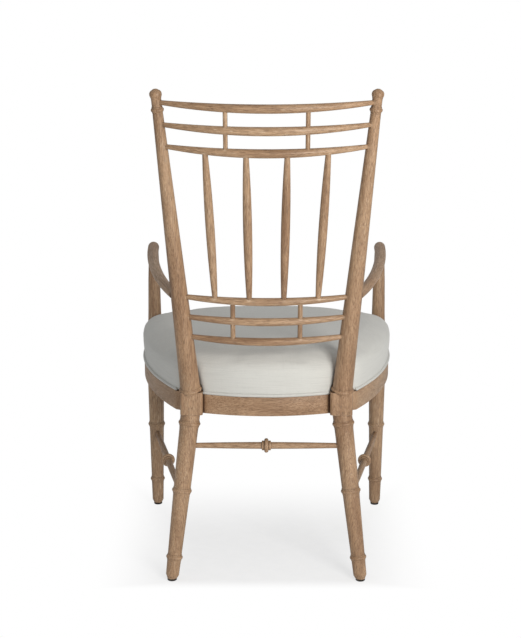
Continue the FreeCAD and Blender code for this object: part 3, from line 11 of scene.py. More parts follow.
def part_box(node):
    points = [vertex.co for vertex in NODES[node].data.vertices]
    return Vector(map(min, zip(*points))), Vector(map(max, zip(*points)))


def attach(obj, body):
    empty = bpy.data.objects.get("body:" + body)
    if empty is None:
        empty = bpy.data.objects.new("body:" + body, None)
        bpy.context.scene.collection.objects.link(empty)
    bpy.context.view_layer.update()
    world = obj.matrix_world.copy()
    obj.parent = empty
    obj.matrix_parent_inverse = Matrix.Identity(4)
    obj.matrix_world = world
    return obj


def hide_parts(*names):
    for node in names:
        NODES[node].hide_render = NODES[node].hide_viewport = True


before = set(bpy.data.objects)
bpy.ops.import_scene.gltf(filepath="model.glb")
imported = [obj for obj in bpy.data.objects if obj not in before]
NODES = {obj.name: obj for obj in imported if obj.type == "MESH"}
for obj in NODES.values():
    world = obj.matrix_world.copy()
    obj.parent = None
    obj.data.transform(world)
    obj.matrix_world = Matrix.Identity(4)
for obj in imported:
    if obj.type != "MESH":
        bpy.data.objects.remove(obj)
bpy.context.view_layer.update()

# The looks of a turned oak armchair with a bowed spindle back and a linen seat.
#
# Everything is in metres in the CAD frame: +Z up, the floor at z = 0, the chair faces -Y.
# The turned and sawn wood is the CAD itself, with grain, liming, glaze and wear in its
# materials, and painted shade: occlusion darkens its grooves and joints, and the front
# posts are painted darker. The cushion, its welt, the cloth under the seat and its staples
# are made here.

MM = 0.001
scene = bpy.context.scene

LEFT, RIGHT = 1, -1
WORDS = {LEFT: "left", RIGHT: "right"}
RUNS = ("rear", "left", "front", "right")       # the seat's edge, one run after another

# grain of the wood
RING_SPACING = 4.3 * MM
PLY_LAYERS = 3.0 * MM           # a light and a dark veneer together
GLAZE_AND_SHADE_REACH = 6.0 * MM          # how far occlusion reaches: glaze in grooves, painted shade at joints and near parts
WEAR_REACH = 3.5 * MM           # how far from an edge the wood is rubbed paler
BLOCK_EASE = 0.8 * MM
RAIL_EASE = 1.2 * MM

# threads of the cloths
LINEN_THREAD, LINEN_RELIEF = 0.85 * MM, 0.25 * MM
WELT_THREAD, WELT_RELIEF = 0.8 * MM, 0.2 * MM
NONWOVEN_THREAD, NONWOVEN_RELIEF = 1.1 * MM, 0.12 * MM

# the cushion
SKIRT_LIFT = 0.8 * MM           # the skirt's lower edge above the seat board's underside
SKIRT_INSET = 0.5 * MM          # the skirt's face inside the rails' outer faces
SKIRT_RISE = 12.0 * MM          # how far up the cover is drawn in to the skirt
SKIRT_HELD = 5.0 * MM           # the height of cover that the simulation holds still
CUSHION_EDGE = 469.5 * MM       # the start shape's rim
CUSHION_CROWN = 9.0 * MM        # the start shape's rise from rim to middle
ROLL, ROLL_DROP = 70.0 * MM, 8.0 * MM       # the top's fall towards its edge
CUSHION_BELLY = 6.0 * MM        # the start shape's swell at half its height
BELLY_REACH = 40.0 * MM         # how far in from the edge the swell reaches
UNDERSIDE_EDGE = 5.0 * MM       # where the flat underside starts, in from the rails' faces
BOARD_REACH = 2.0 * MM          # the height over the board that counts as underside
BOARD_LIFT = 0.4 * MM           # the underside over the board
VOXEL, QUICK_VOXEL = 4.5 * MM, 5.5 * MM
PUFF_FRAMES = 18
PUFF_LIMIT = 5.0 * MM           # the furthest that the simulation moves the cover
CALM_PASSES = 14
POST_GAP = 0.9 * MM             # the cover off the posts
POST_SEARCH = 30.0 * MM

# the welt
WELT_STEP = 2.5 * MM
WELT_INSET = 0.3 * MM
WELT_WAVER = 0.35 * MM
WELT_SIDES = 16

# the cloth under the seat and its staples
REAR_BLOCK_HALF, FRONT_BLOCK_HALF = 22.5 * MM, 21.0 * MM
BLOCK_GAP = 1.8 * MM
OUTLINE_STEPS = 60
CLOTH_INSET = 7.0 * MM
CLOTH_MESH = 9.0 * MM
CLOTH_SAG, SAG_REACH = 2.2 * MM, 180.0 * MM
CLOTH_THICKNESS = 0.5 * MM
STAPLE_START, STAPLE_SPACING, STAPLE_JITTER = 20.0 * MM, 38.0 * MM, 6.0 * MM
STAPLE_INSET = 5.0 * MM
STAPLE_TURN = 0.3               # radians, either way
STAPLE_HALF, STAPLE_WIRE = 4.6 * MM, 0.35 * MM
STAPLE_SEED = 4

# stage, light and camera
FLOOR_HALF = 30.0
FLOOR_GLOW = 0.66               # painted light: the share of white glow on the floor near the chair
ROOM_SIDE, ROOM_TOP = 0.42, 0.5
KEY_PLACE, KEY_AIM = (-1.0, 1.95, 1.15), (0, 0.1, 0.5)
KEY_ACROSS, KEY_POWER, KEY_COLOUR = 0.8, 32, (1.0, 0.985, 0.96)
SENSOR, LENS = 36.0, 70.533     # millimetres
CAMERA_BEHIND, CAMERA_HEIGHT = 2.831, 1.058     # behind the front legs, above the floor
CAMERA_PITCH, CAMERA_TURN = 12.1, 0.28          # degrees, down and to the side


def middle(node):
    """Return the middle of a CAD node's box."""
    low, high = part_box(node)
    return (Vector(low) + Vector(high)) / 2


def size(node):
    """Return the three sides of a CAD node's box."""
    low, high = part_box(node)
    return Vector(high) - Vector(low)


def linear(red, green, blue):
    """Return a linear colour with alpha from sRGB values of 0 to 255."""
    def one(channel):
        share = channel / 255
        return share / 12.92 if share <= 0.04045 else ((share + 0.055) / 1.055) ** 2.4
    return (one(red), one(green), one(blue), 1.0)


# ---------------------------------------------------------------- shader helper


class Shader:
    """A new material, with short calls that add nodes and link them."""

    def __init__(self, name):
        self.material = bpy.data.materials.new(name)
        self.material.use_nodes = True
        self.tree = self.material.node_tree
        self.tree.nodes.clear()

    def add(self, kind, inputs=None, **settings):
        """Add a node; an input is a value or another node's socket."""
        node = self.tree.nodes.new("ShaderNode" + kind)
        for key, setting in settings.items():
            setattr(node, key, setting)
        for key, value in (inputs or {}).items():
            if isinstance(value, bpy.types.NodeSocket):
                self.tree.links.new(value, node.inputs[key])
            else:
                node.inputs[key].default_value = value
        return node

    def math(self, operation, first, second=0.0):
        """Return the result of a math node."""
        return self.add("Math", {0: first, 1: second}, operation=operation).outputs[0]

    def vector(self, operation, first, second=(0, 0, 0)):
        """Return the vector result of a vector math node."""
        return self.add("VectorMath", {0: first, 1: second}, operation=operation).outputs[0]

    def stretch(self, vector, scale):
        """Return a vector scaled along each axis."""
        return self.vector("MULTIPLY", vector, scale)

    def noise(self, vector, scale, detail=2.0, roughness=0.5):
        """Return a noise texture's value."""
        return self.add("TexNoise", {"Vector": vector, "Scale": scale, "Detail": detail,
                                     "Roughness": roughness}).outputs[0]

    def ramp(self, value, low, high, bottom=0.0, top=1.0):
        """Return a value remapped from low..high to bottom..top, held at the ends."""
        return self.add("MapRange", {"Value": value, "From Min": low, "From Max": high,
                                     "To Min": bottom, "To Max": top},
                        interpolation_type="SMOOTHSTEP").outputs[0]

    def mix(self, share, first, second):
        """Return two colours mixed."""
        node = self.tree.nodes.new("ShaderNodeMix")
        node.data_type = "RGBA"
        for key, value in ((0, share), (6, first), (7, second)):
            if isinstance(value, bpy.types.NodeSocket):
                self.tree.links.new(value, node.inputs[key])
            else:
                node.inputs[key].default_value = value
        return node.outputs[2]

    def finish(self, surface):
        """Link the surface to the output and return the material."""
        output = self.tree.nodes.new("ShaderNodeOutputMaterial")
        self.tree.links.new(surface.outputs[0], output.inputs["Surface"])
        return self.material


# ---------------------------------------------------------------- wood

OAK = {
    "dark": linear(128, 94, 65),
    "mid": linear(168, 133, 101),
    "light": linear(192, 160, 127),
    "lime": linear(219, 198, 170),
    "pore": linear(94, 66, 44),
    "glaze_and_shade": linear(80, 57, 40),
}
BEECH = {
    "dark": linear(176, 142, 104),
    "mid": linear(203, 173, 133),
    "light": linear(220, 194, 156),
    "lime": linear(226, 204, 170),
    "pore": linear(150, 118, 84),
    "glaze_and_shade": linear(120, 92, 64),
}


def grain_space(shader, seed, axis, centre, bow):
    """Return coordinates whose Z runs along the grain, waving a little."""
    place = shader.add("TexCoord").outputs["Object"]
    if bow:
        side, half, rise = bow
        run = shader.add("VectorMath", {0: shader.vector("SUBTRACT", place, centre),
                                        1: axis}, operation="DOT_PRODUCT").outputs["Value"]
        share = shader.math("DIVIDE", run, half)
        lift = shader.math("MULTIPLY", shader.math("MULTIPLY", share, share), rise)
        shift = shader.add("VectorMath", {0: side, "Scale": lift}, operation="SCALE").outputs[0]
        place = shader.vector("ADD", place, shift)
    turn = Vector(axis).to_track_quat("Z", "Y").inverted()
    start = turn @ Vector(centre)
    local = shader.add("Mapping", {"Vector": place, "Rotation": turn.to_euler(),
                                   "Location": -start}, vector_type="POINT").outputs[0]
    local = shader.vector("ADD", local, (0.31 * (seed % 7), 0.17 * (seed % 11), 0.41 * (seed % 13)))

    # slow waviness of the grain
    sway = shader.add("TexNoise", {"Vector": shader.stretch(local, (6, 6, 2.2)), "Scale": 1.0,
                                   "Detail": 1.5}).outputs["Color"]
    sway = shader.vector("SUBTRACT", sway, (0.5, 0.5, 0.5))
    return shader.vector("ADD", local, shader.stretch(sway, (0.006, 0.006, 0.0)))


def late_wood(shader, seed, local):
    """Return the growth rings' dark side, about a pith outside the piece."""
    flat = shader.stretch(local, (1, 1, 0.035))
    pith = (0.05 + 0.01 * (seed % 5), 0.035 + 0.012 * (seed % 4), 0.0)
    reach = shader.add("VectorMath", {0: shader.vector("SUBTRACT", flat, pith)},
                       operation="LENGTH").outputs["Value"]
    rings = shader.math("SINE", shader.math("MULTIPLY", reach, 2 * math.pi / RING_SPACING))
    return shader.ramp(rings, -0.2, 1.0)


def wood(name, axis, centre, palette=OAK, bow=None, tone_and_shade=0.0, ply=False):
    """Make a limed wood whose grain runs along an axis through a centre.

    bow is a side direction, a half length and a rise: the grain follows that curve.
    A value shift lightens or darkens the whole piece; on the front posts it is painted shade.
    """
    shader = Shader(name)
    seed = sum(ord(letter) * (n + 3) for n, letter in enumerate(name)) % 977
    local = grain_space(shader, seed, axis, centre, bow)
    late = late_wood(shader, seed, local)

    # fibres, pores and liming
    broad = shader.noise(shader.stretch(local, (1, 1, 0.12)), 60.0, 3.0, 0.55)
    streak = shader.noise(shader.stretch(local, (1, 1, 0.04)), 520.0, 4.0, 0.68)
    pore = shader.noise(shader.stretch(local, (1, 1, 0.06)), 1000.0, 3.0, 0.7)
    fleck = shader.noise(shader.stretch(local, (1, 1, 0.09)), 560.0, 3.0, 0.6)
    cloud = shader.noise(shader.stretch(local, (1, 1, 0.35)), 9.0, 2.0, 0.5)

    colour = shader.mix(shader.ramp(broad, 0.34, 0.66), palette["dark"], palette["mid"])
    colour = shader.mix(shader.ramp(cloud, 0.3, 0.72, 0.15, 0.75), colour, palette["light"])
    colour = shader.mix(shader.math("MULTIPLY", late, 0.16), colour, palette["dark"])
    colour = shader.mix(shader.ramp(streak, 0.48, 0.68, 0.0, 0.5), colour, palette["dark"])
    colour = shader.mix(shader.ramp(streak, 0.5, 0.3, 0.0, 0.42), colour, palette["light"])
    colour = shader.mix(shader.ramp(pore, 0.5, 0.6, 0.0, 0.62), colour, palette["pore"])
    limed = shader.math("MULTIPLY", shader.ramp(fleck, 0.56, 0.7),
                        shader.ramp(cloud, 0.4, 0.64, 0.1, 0.6))
    colour = shader.mix(limed, colour, palette["lime"])
    if ply:
        layer = shader.math("SINE", shader.math("MULTIPLY", shader.add(
            "SeparateXYZ", {0: shader.add("TexCoord").outputs["Object"]}).outputs[2],
            2 * math.pi / PLY_LAYERS))
        colour = shader.mix(shader.ramp(layer, 0.1, 0.5, 0.0, 0.35), colour, palette["dark"])

    # glaze left in the turned grooves, plus painted shade where joints and nearby parts occlude;
    # edges rubbed paler
    sunk = shader.add("AmbientOcclusion", {"Distance": GLAZE_AND_SHADE_REACH}, samples=6).outputs["AO"]
    worn = shader.add("AmbientOcclusion", {"Distance": WEAR_REACH}, samples=4, inside=True,
                      only_local=True).outputs["AO"]
    # painted shade, partly glaze: occluded wood is darkened towards one dark brown
    glaze_shade_mask = shader.math("MULTIPLY", shader.ramp(sunk, 0.88, 0.4), 0.9)
    colour = shader.mix(glaze_shade_mask, colour, palette["glaze_and_shade"])
    rub = shader.math("MULTIPLY", shader.ramp(worn, 0.6, 0.25),
                      shader.ramp(broad, 0.3, 0.62, 0.1, 0.6))
    colour = shader.mix(rub, colour, palette["lime"])
    # a value shift over the whole piece; on the front posts it is painted shade
    if tone_and_shade:
        colour = shader.add("HueSaturation", {"Color": colour, "Value": 1.0 + tone_and_shade}).outputs[0]

    rough = shader.ramp(streak, 0.3, 0.7, 0.4, 0.56)
    rough = shader.math("ADD", rough, shader.math("MULTIPLY", glaze_shade_mask, 0.2))
    height = shader.math("ADD", shader.math("MULTIPLY", streak, -0.6),
                         shader.math("MULTIPLY", shader.ramp(pore, 0.52, 0.7), -0.7))
    bump = shader.add("Bump", {"Strength": 0.5, "Distance": 0.0004, "Height": height}).outputs[0]
    surface = shader.add("BsdfPrincipled", {"Base Color": colour, "Roughness": rough,
                                            "Normal": bump, "Specular IOR Level": 0.42,
                                            "Coat Weight": 0.08, "Coat Roughness": 0.35})
    return shader.finish(surface)


def paint(node, material):
    """Give a CAD node one material."""
    NODES[node].data.materials.clear()
    NODES[node].data.materials.append(material)


def soften(node, width):
    """Ease a sawn piece's sharp edges."""
    weld = NODES[node].modifiers.new("joined_faces", "WELD")
    weld.merge_threshold = 0.00001
    bevel = NODES[node].modifiers.new("eased_edges", "BEVEL")
    bevel.width = width
    bevel.segments = 2
    bevel.limit_method = "ANGLE"
    bevel.angle_limit = math.radians(50)


def paint_wood():
    """Give every wooden node its own grain."""
    back_lean = middle("crest_rail_top") - middle("lumbar_rail_top")
    back_square = Vector((0, back_lean.z, -back_lean.y)).normalized()
    for side, word in WORDS.items():
        low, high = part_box(f"rear_post_{word}")
        foot = middle(f"rear_glide_{word}")
        top = Vector((side * (max(abs(low[0]), abs(high[0])) - 0.0105), high[1] - 0.011, high[2]))
        name = f"rear_post_{word}"
        paint(name, wood(f"oak_{name}", (top - foot).normalized(), (top + foot) / 2,
                         tone_and_shade=0.02 if side == LEFT else -0.02))
        name = f"front_post_{word}"
        # the front posts are painted darker: painted shade for where they stand
        paint(name, wood(f"oak_{name}", (0, 0, 1), middle(name), tone_and_shade=-0.06))
        name = f"arm_{word}"
        span = size(name)
        paint(name, wood(f"oak_{name}", Vector((-side * 0.16, 1, -0.06)).normalized(),
                         middle(name), bow=((side * 1.0, 0, 0), span.y / 2, 0.02)))
        run = middle(f"rear_glide_{word}") - middle(f"front_glide_{word}")
        run.z = 0
        name = f"side_stretcher_{word}"
        paint(name, wood(f"oak_{name}", run.normalized(), middle(name), tone_and_shade=-0.02))
        name = f"side_seat_rail_{word}"
        paint(name, wood(f"oak_{name}", Vector((-side * 0.24, 1, 0)).normalized(), middle(name)))
        for kind in ("crest", "lumbar"):
            for tier in ("upper", "lower"):
                name = f"{kind}_strut_{tier}_{word}"
                paint(name, wood(f"oak_{name}", back_lean.normalized(), middle(name), tone_and_shade=-0.03))
    for kind in ("crest", "lumbar"):
        for place in ("top", "middle", "low"):
            name = f"{kind}_rail_{place}"
            span = size(name)
            rise = span.y - 0.014
            paint(name, wood(f"oak_{name}", (1, 0, 0), middle(name),
                             bow=(tuple(back_square), span.x / 2, rise)))
    for n in range(1, 5):
        name = f"spindle_{n}"
        paint(name, wood(f"oak_{name}", back_lean.normalized(), middle(name), tone_and_shade=-0.02))
    for name in ("rear_seat_rail", "front_seat_rail", "rear_stretcher", "front_stretcher"):
        paint(name, wood(f"oak_{name}", (1, 0, 0), middle(name)))
    paint("seat_board", wood("ply_seat_board", (0, 1, 0), middle("seat_board"), BEECH, ply=True))
    for end in ("rear", "front"):
        for side, word in WORDS.items():
            name = f"corner_block_{end}_{word}"
            run = Vector((1, side * (1 if end == "front" else -1) * 1.1, 0)).normalized()
            paint(name, wood(f"beech_{name}", run, middle(name), BEECH))
            soften(name, BLOCK_EASE)
    for name in ("rear_seat_rail", "front_seat_rail", "side_seat_rail_left",
                 "side_seat_rail_right"):
        soften(name, RAIL_EASE)


# ---------------------------------------------------------------- small hard parts


def steel():
    """Make zinc-plated steel with turning marks and a dull bloom."""
    shader = Shader("zinc_steel")
    place = shader.add("TexCoord").outputs["Object"]
    marks = shader.noise(shader.stretch(place, (1, 1, 6)), 900.0, 2.0)
    bloom = shader.noise(place, 120.0, 3.0)
    colour = shader.mix(bloom, linear(150, 148, 140), linear(205, 203, 196))
    rough = shader.ramp(marks, 0.3, 0.7, 0.28, 0.5)
    bump = shader.add("Bump", {"Strength": 0.3, "Distance": 0.0001, "Height": marks}).outputs[0]
    return shader.finish(shader.add("BsdfPrincipled", {
        "Base Color": colour, "Metallic": 1.0, "Roughness": rough, "Normal": bump}))


def nylon():
    """Make dark nylon, scuffed and dusty towards the floor."""
    shader = Shader("glide_nylon")
    place = shader.add("TexCoord").outputs["Object"]
    height = shader.add("SeparateXYZ", {0: place}).outputs[2]
    scuff = shader.noise(place, 700.0, 3.0, 0.65)
    dust = shader.math("MULTIPLY", shader.ramp(height, 0.002, 0.0), shader.ramp(scuff, 0.4, 0.7))
    colour = shader.mix(shader.ramp(scuff, 0.4, 0.65, 0.0, 0.5), linear(34, 27, 22),
                        linear(58, 47, 39))
    colour = shader.mix(shader.math("MULTIPLY", dust, 0.5), colour, linear(120, 112, 104))
    rough = shader.ramp(scuff, 0.3, 0.7, 0.42, 0.7)
    bump = shader.add("Bump", {"Strength": 0.4, "Distance": 0.0001, "Height": scuff}).outputs[0]
    return shader.finish(shader.add("BsdfPrincipled", {
        "Base Color": colour, "Roughness": rough, "Normal": bump}))


# ---------------------------------------------------------------- cloth materials


def woven(name, thread, light, dark, bump_depth, slub=1.0, sheen=0.25):
    """Make a plain weave that follows whichever way the surface faces."""
    shader = Shader(name)
    place = shader.add("TexCoord").outputs["Object"]
    drift = shader.add("TexNoise", {"Vector": place, "Scale": 22.0, "Detail": 2.0}).outputs["Color"]
    drift = shader.stretch(shader.vector("SUBTRACT", drift, (0.5, 0.5, 0.5)), (0.003,) * 3)
    place = shader.vector("ADD", place, drift)
    axes = shader.add("SeparateXYZ", {0: place})
    facing = shader.add("SeparateXYZ", {0: shader.add("NewGeometry").outputs["True Normal"]})
    x, y, z = axes.outputs
    ends = [shader.math("ABSOLUTE", socket) for socket in facing.outputs]
    weights = [shader.math("POWER", end, 6.0) for end in ends]
    total = shader.math("ADD", shader.math("ADD", weights[0], weights[1]), weights[2])
    total = shader.math("MAXIMUM", total, 0.0001)

    def threads(first, second):
        """Return how high a plain weave stands where two coordinates meet."""
        count = 2 * math.pi / (2 * thread)
        waves = [shader.math("SINE", shader.math("MULTIPLY", c, count)) for c in (first, second)]
        over = shader.math("MULTIPLY", waves[0], waves[1])
        rib = shader.math("ADD", shader.math("ABSOLUTE", waves[0]),
                          shader.math("ABSOLUTE", waves[1]))
        return shader.math("ADD", shader.math("MULTIPLY", over, 0.5),
                           shader.math("MULTIPLY", rib, 0.35))

    def slubs(first, second, seed):
        """Return uneven thick threads that run along the first coordinate."""
        both = shader.add("CombineXYZ", {0: shader.math("MULTIPLY", first, 14.0),
                                         1: shader.math("MULTIPLY", second, 520.0), 2: seed})
        return shader.noise(both.outputs[0], 1.0, 3.0, 0.62)

    def blend(patterns):
        """Return three patterns mixed by the way the surface faces."""
        parts = [shader.math("MULTIPLY", p, w) for p, w in zip(patterns, weights)]
        return shader.math("DIVIDE", shader.math("ADD", shader.math("ADD", parts[0], parts[1]),
                                                 parts[2]), total)

    weave = blend([threads(y, z), threads(x, z), threads(x, y)])
    weft = blend([slubs(y, z, 1.0), slubs(x, z, 2.0), slubs(x, y, 3.0)])
    warp = blend([slubs(z, y, 4.0), slubs(z, x, 5.0), slubs(y, x, 6.0)])
    patch = shader.noise(place, 11.0, 2.0)
    colour = shader.mix(shader.ramp(weave, -0.3, 0.75), dark, light)
    colour = shader.mix(shader.ramp(weft, 0.44, 0.7, 0.0, 0.34 * slub), colour, dark)
    colour = shader.mix(shader.ramp(warp, 0.5, 0.74, 0.0, 0.2 * slub), colour, dark)
    colour = shader.mix(shader.ramp(patch, 0.3, 0.7, 0.0, 0.12), colour, dark)
    # painted shade: occlusion darkens the cloth in creases and where it meets other parts
    sunk = shader.add("AmbientOcclusion", {"Distance": 0.008}, samples=6).outputs["AO"]
    colour = shader.mix(shader.math("MULTIPLY", shader.ramp(sunk, 0.7, 0.2), 0.35), colour, dark)
    height = shader.math("ADD", weave, shader.math("MULTIPLY", weft, 1.3 * slub))
    bump = shader.add("Bump", {"Strength": 0.55, "Distance": bump_depth, "Height": height})
    surface = shader.add("BsdfPrincipled", {
        "Base Color": colour, "Roughness": 0.88, "Normal": bump.outputs[0],
        "Sheen Weight": sheen, "Sheen Roughness": 0.45, "Specular IOR Level": 0.2})
    return shader.finish(surface)


# ---------------------------------------------------------------- the seat's plan


def fitted_circle(points):
    """Return the centre and radius of the circle that best fits plan points."""
    rows = np.array([(2 * p.x, 2 * p.y, 1.0) for p in points])
    squares = np.array([p.x * p.x + p.y * p.y for p in points])
    a, b, c = np.linalg.lstsq(rows, squares, rcond=None)[0]
    return Vector((a, b, 0)), math.sqrt(c + a * a + b * b)


def welt_arc(word):
    """Return a run of welt's circle, its end angles and its height, from its CAD solid."""
    node = NODES[f"welt_{word}"]
    points = [v.co for v in node.data.vertices]
    centre, radius = fitted_circle(points)
    height = middle(f"welt_{word}").z
    facing = middle(f"welt_{word}") - centre
    base = math.atan2(facing.y, facing.x)
    turns = []
    for p in points:
        turn = math.atan2(p.y - centre.y, p.x - centre.x) - base
        turns.append((turn + math.pi) % (2 * math.pi) - math.pi)
    return centre, radius, base + min(turns), base + max(turns), height


ARCS = {word: welt_arc(word) for word in RUNS}


def outward(x, y):
    """Return how far a plan point lies outside the seat rails' outer faces."""
    return max(math.hypot(x - arc[0].x, y - arc[0].y) - arc[1] for arc in ARCS.values())


def arc_of(x, y):
    """Return the run of the outline that a plan point is furthest past."""
    return max(ARCS.values(), key=lambda arc: math.hypot(x - arc[0].x, y - arc[0].y) - arc[1])


def arc_point(word, share, inset):
    """Return a plan point a share of the way along a run, moved inward by an inset."""
    centre, radius, start, end, _ = ARCS[word]
    turn = start + (end - start) * share
    return centre + Vector((math.cos(turn), math.sin(turn), 0)) * (radius - inset)


# ---------------------------------------------------------------- mesh helpers


def new_object(name, mesh, materials):
    """Link a mesh as an object with its materials."""
    piece = bpy.data.objects.new(name, mesh)
    scene.collection.objects.link(piece)
    for material in materials:
        mesh.materials.append(material)
    return piece


def applied(piece):
    """Apply an object's modifiers to its mesh."""
    graph = bpy.context.evaluated_depsgraph_get()
    mesh = bpy.data.meshes.new_from_object(piece.evaluated_get(graph), depsgraph=graph)
    old = piece.data
    piece.modifiers.clear()
    piece.data = mesh
    bpy.data.meshes.remove(old)
    return piece


CAPS = (0.0, 0.35, 0.7, 0.93)       # a domed end's rings, from its tip inwards


def tube(name, path, radii, material, sides):
    """Make a closed round bar along a path, with domed ends."""
    points = [Vector(p) for p in path]
    tangents = []
    for n in range(len(points)):
        tangents.append((points[min(n + 1, len(points) - 1)] - points[max(n - 1, 0)]).normalized())
    rings = []
    for cap in CAPS:
        rings.append((points[0] - tangents[0] * radii[0] * (1 - cap), tangents[0],
                      radii[0] * math.sqrt(1 - (1 - cap) ** 2)))
    rings += [(p, t, r) for p, t, r in zip(points, tangents, radii)]
    for cap in reversed(CAPS):
        rings.append((points[-1] + tangents[-1] * radii[-1] * (1 - cap), tangents[-1],
                      radii[-1] * math.sqrt(1 - (1 - cap) ** 2)))
    build = bmesh.new()
    loops = []
    for place, tangent, radius in rings[1:-1]:
        across = tangent.cross(Vector((0, 0, 1))).normalized()
        upward = across.cross(tangent).normalized()
        loop = []
        for k in range(sides):
            turn = 2 * math.pi * k / sides
            loop.append(build.verts.new(place + across * (math.cos(turn) * radius)
                                        + upward * (math.sin(turn) * radius)))
        loops.append(loop)
    for first, second in zip(loops, loops[1:]):
        for k in range(sides):
            build.faces.new((first[k], first[(k + 1) % sides],
                             second[(k + 1) % sides], second[k]))
    for loop, end, flip in ((loops[0], rings[0][0], False), (loops[-1], rings[-1][0], True)):
        tip = build.verts.new(end)
        for k in range(sides):
            corners = (loop[(k + 1) % sides], loop[k], tip)
            build.faces.new(corners[::-1] if flip else corners)
    bmesh.ops.recalc_face_normals(build, faces=build.faces)
    mesh = bpy.data.meshes.new(name)
    build.to_mesh(mesh)
    build.free()
    mesh.polygons.foreach_set("use_smooth", [True] * len(mesh.polygons))
    return new_object(name, mesh, [material])


# ---------------------------------------------------------------- the cushion


def cushion_start():
    """Copy the foam's solid, drop its skirt to the welt and give it a crown."""
    mesh = NODES["seat_foam"].data.copy()
    mesh.name = "seat_cushion"
    mesh.materials.clear()
    low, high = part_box("seat_foam")
    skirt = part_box("seat_board")[0][2] + SKIRT_LIFT
    board_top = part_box("seat_board")[1][2]
    reach = min(size("seat_foam").x, size("seat_foam").y) / 2
    for corner in mesh.vertices:
        x, y, z = corner.co
        share = (z - low[2]) / (high[2] - low[2])
        inside = max(0.0, min(1.0, -outward(x, y) / reach))
        crown = 1 - (1 - inside) ** 2.2
        top = CUSHION_EDGE + CUSHION_CROWN * crown
        past = outward(x, y)
        if past > -ROLL:
            top -= ROLL_DROP * (1 + past / ROLL) ** 2
        corner.co.z = skirt + (top - skirt) * share
        if past > -BELLY_REACH and (x or y):
            belly = CUSHION_BELLY * math.sin(math.pi * share) * (1 + past / BELLY_REACH)
            toward = (Vector((x, y, 0)) - arc_of(x, y)[0]).normalized()
            corner.co += toward * belly
    piece = new_object("seat_cushion", mesh, [])
    remesh = piece.modifiers.new("voxels", "REMESH")
    remesh.mode = "VOXEL"
    remesh.voxel_size = VOXEL
    remesh.use_smooth_shade = True
    applied(piece)
    smooth = piece.modifiers.new("voxel_steps", "SMOOTH")
    smooth.factor = 0.5
    smooth.iterations = 4
    return applied(piece), skirt, board_top


def inflate(piece, skirt):
    """Puff the cushion up by a cloth simulation, held along its skirt."""
    start = [v.co.copy() for v in piece.data.vertices]
    held = piece.vertex_groups.new(name="held")
    held.add([v.index for v in piece.data.vertices if v.co.z < skirt + SKIRT_HELD], 1.0, "REPLACE")
    cloth = piece.modifiers.new("inflate", "CLOTH")
    settings = cloth.settings
    settings.vertex_group_mass = "held"
    settings.quality = 6
    settings.mass = 0.3
    settings.tension_stiffness = 28
    settings.compression_stiffness = 28
    settings.shear_stiffness = 14
    settings.bending_stiffness = 8.0
    settings.use_pressure = True
    settings.uniform_pressure_force = 2.6
    settings.effector_weights.gravity = 0
    cloth.point_cache.frame_start = 1
    cloth.point_cache.frame_end = PUFF_FRAMES
    for step in range(1, PUFF_FRAMES + 1):
        scene.frame_set(step)
    graph = bpy.context.evaluated_depsgraph_get()
    puffed = piece.evaluated_get(graph).to_mesh()
    moved = [v.co.copy() for v in puffed.vertices]
    piece.evaluated_get(graph).to_mesh_clear()
    piece.modifiers.clear()
    scene.frame_set(1)
    for vertex, old, new in zip(piece.data.vertices, start, moved):
        step = new - old
        if step.length > PUFF_LIMIT:
            step *= PUFF_LIMIT / step.length
        vertex.co = old + step
    calm = piece.modifiers.new("calm", "SMOOTH")
    calm.factor = 0.5
    calm.iterations = CALM_PASSES
    calm.vertex_group = "held"
    calm.invert_vertex_group = True
    applied(piece)


def clear_posts(piece):
    """Hold the cover a little off the four posts."""
    graph = bpy.context.evaluated_depsgraph_get()
    trees = [BVHTree.FromObject(NODES[f"{end}_post_{word}"], graph)
             for end in ("front", "rear") for word in WORDS.values()]
    for vertex in piece.data.vertices:
        for tree in trees:
            spot, normal, _, gap = tree.find_nearest(vertex.co, POST_SEARCH)
            if spot is None:
                continue
            signed = (vertex.co - spot).dot(normal)
            if gap < POST_GAP or signed < 0:
                vertex.co = spot + normal * POST_GAP


def tuck(piece, skirt, board_top):
    """Pull the skirt in behind the welt and lift the underside onto the board."""
    for vertex in piece.data.vertices:
        x, y, z = vertex.co
        past = outward(x, y)
        if z < skirt + SKIRT_RISE and past > -UNDERSIDE_EDGE:
            share = (skirt + SKIRT_RISE - z) / SKIRT_RISE
            toward = Vector((x, y, 0)) - arc_of(x, y)[0]
            toward.normalize()
            vertex.co -= toward * ((past + SKIRT_INSET) * min(1.0, share) ** 1.2)
        elif past <= -UNDERSIDE_EDGE and z < board_top + BOARD_REACH:
            vertex.co.z = board_top + BOARD_LIFT


def make_cushion(fabric):
    """Make the crowned, upholstered seat."""
    piece, skirt, board_top = cushion_start()
    inflate(piece, skirt)
    tuck(piece, skirt, board_top)
    clear_posts(piece)
    rounding = piece.modifiers.new("rounding", "SUBSURF")
    rounding.levels = rounding.render_levels = 1
    piece.data.polygons.foreach_set("use_smooth", [True] * len(piece.data.polygons))
    piece.data.materials.append(fabric)
    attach(piece, "root")
    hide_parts("seat_cover", "seat_foam")


# ---------------------------------------------------------------- the welt


def make_welts(fabric):
    """Make the cloth-covered cord that finishes the cover's lower edge."""
    for word, (_, radius, start, end, height) in ARCS.items():
        girth = size(f"welt_{word}").z / 2
        count = round(abs(end - start) * radius / WELT_STEP)
        path, radii = [], []
        for n in range(count + 1):
            share = n / count
            spot = arc_point(word, share, WELT_INSET)
            waver = noise.noise(Vector((spot.x * 38, spot.y * 38, 3.0)))
            lift = noise.noise(Vector((spot.x * 21, spot.y * 21, 8.0)))
            path.append((spot.x, spot.y, height + lift * WELT_WAVER))
            radii.append(girth * (0.97 + 0.045 * waver))
        piece = tube(f"welt_cord_{word}", path, radii, fabric, WELT_SIDES)
        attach(piece, "root")
        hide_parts(f"welt_{word}")


# ---------------------------------------------------------------- under the seat


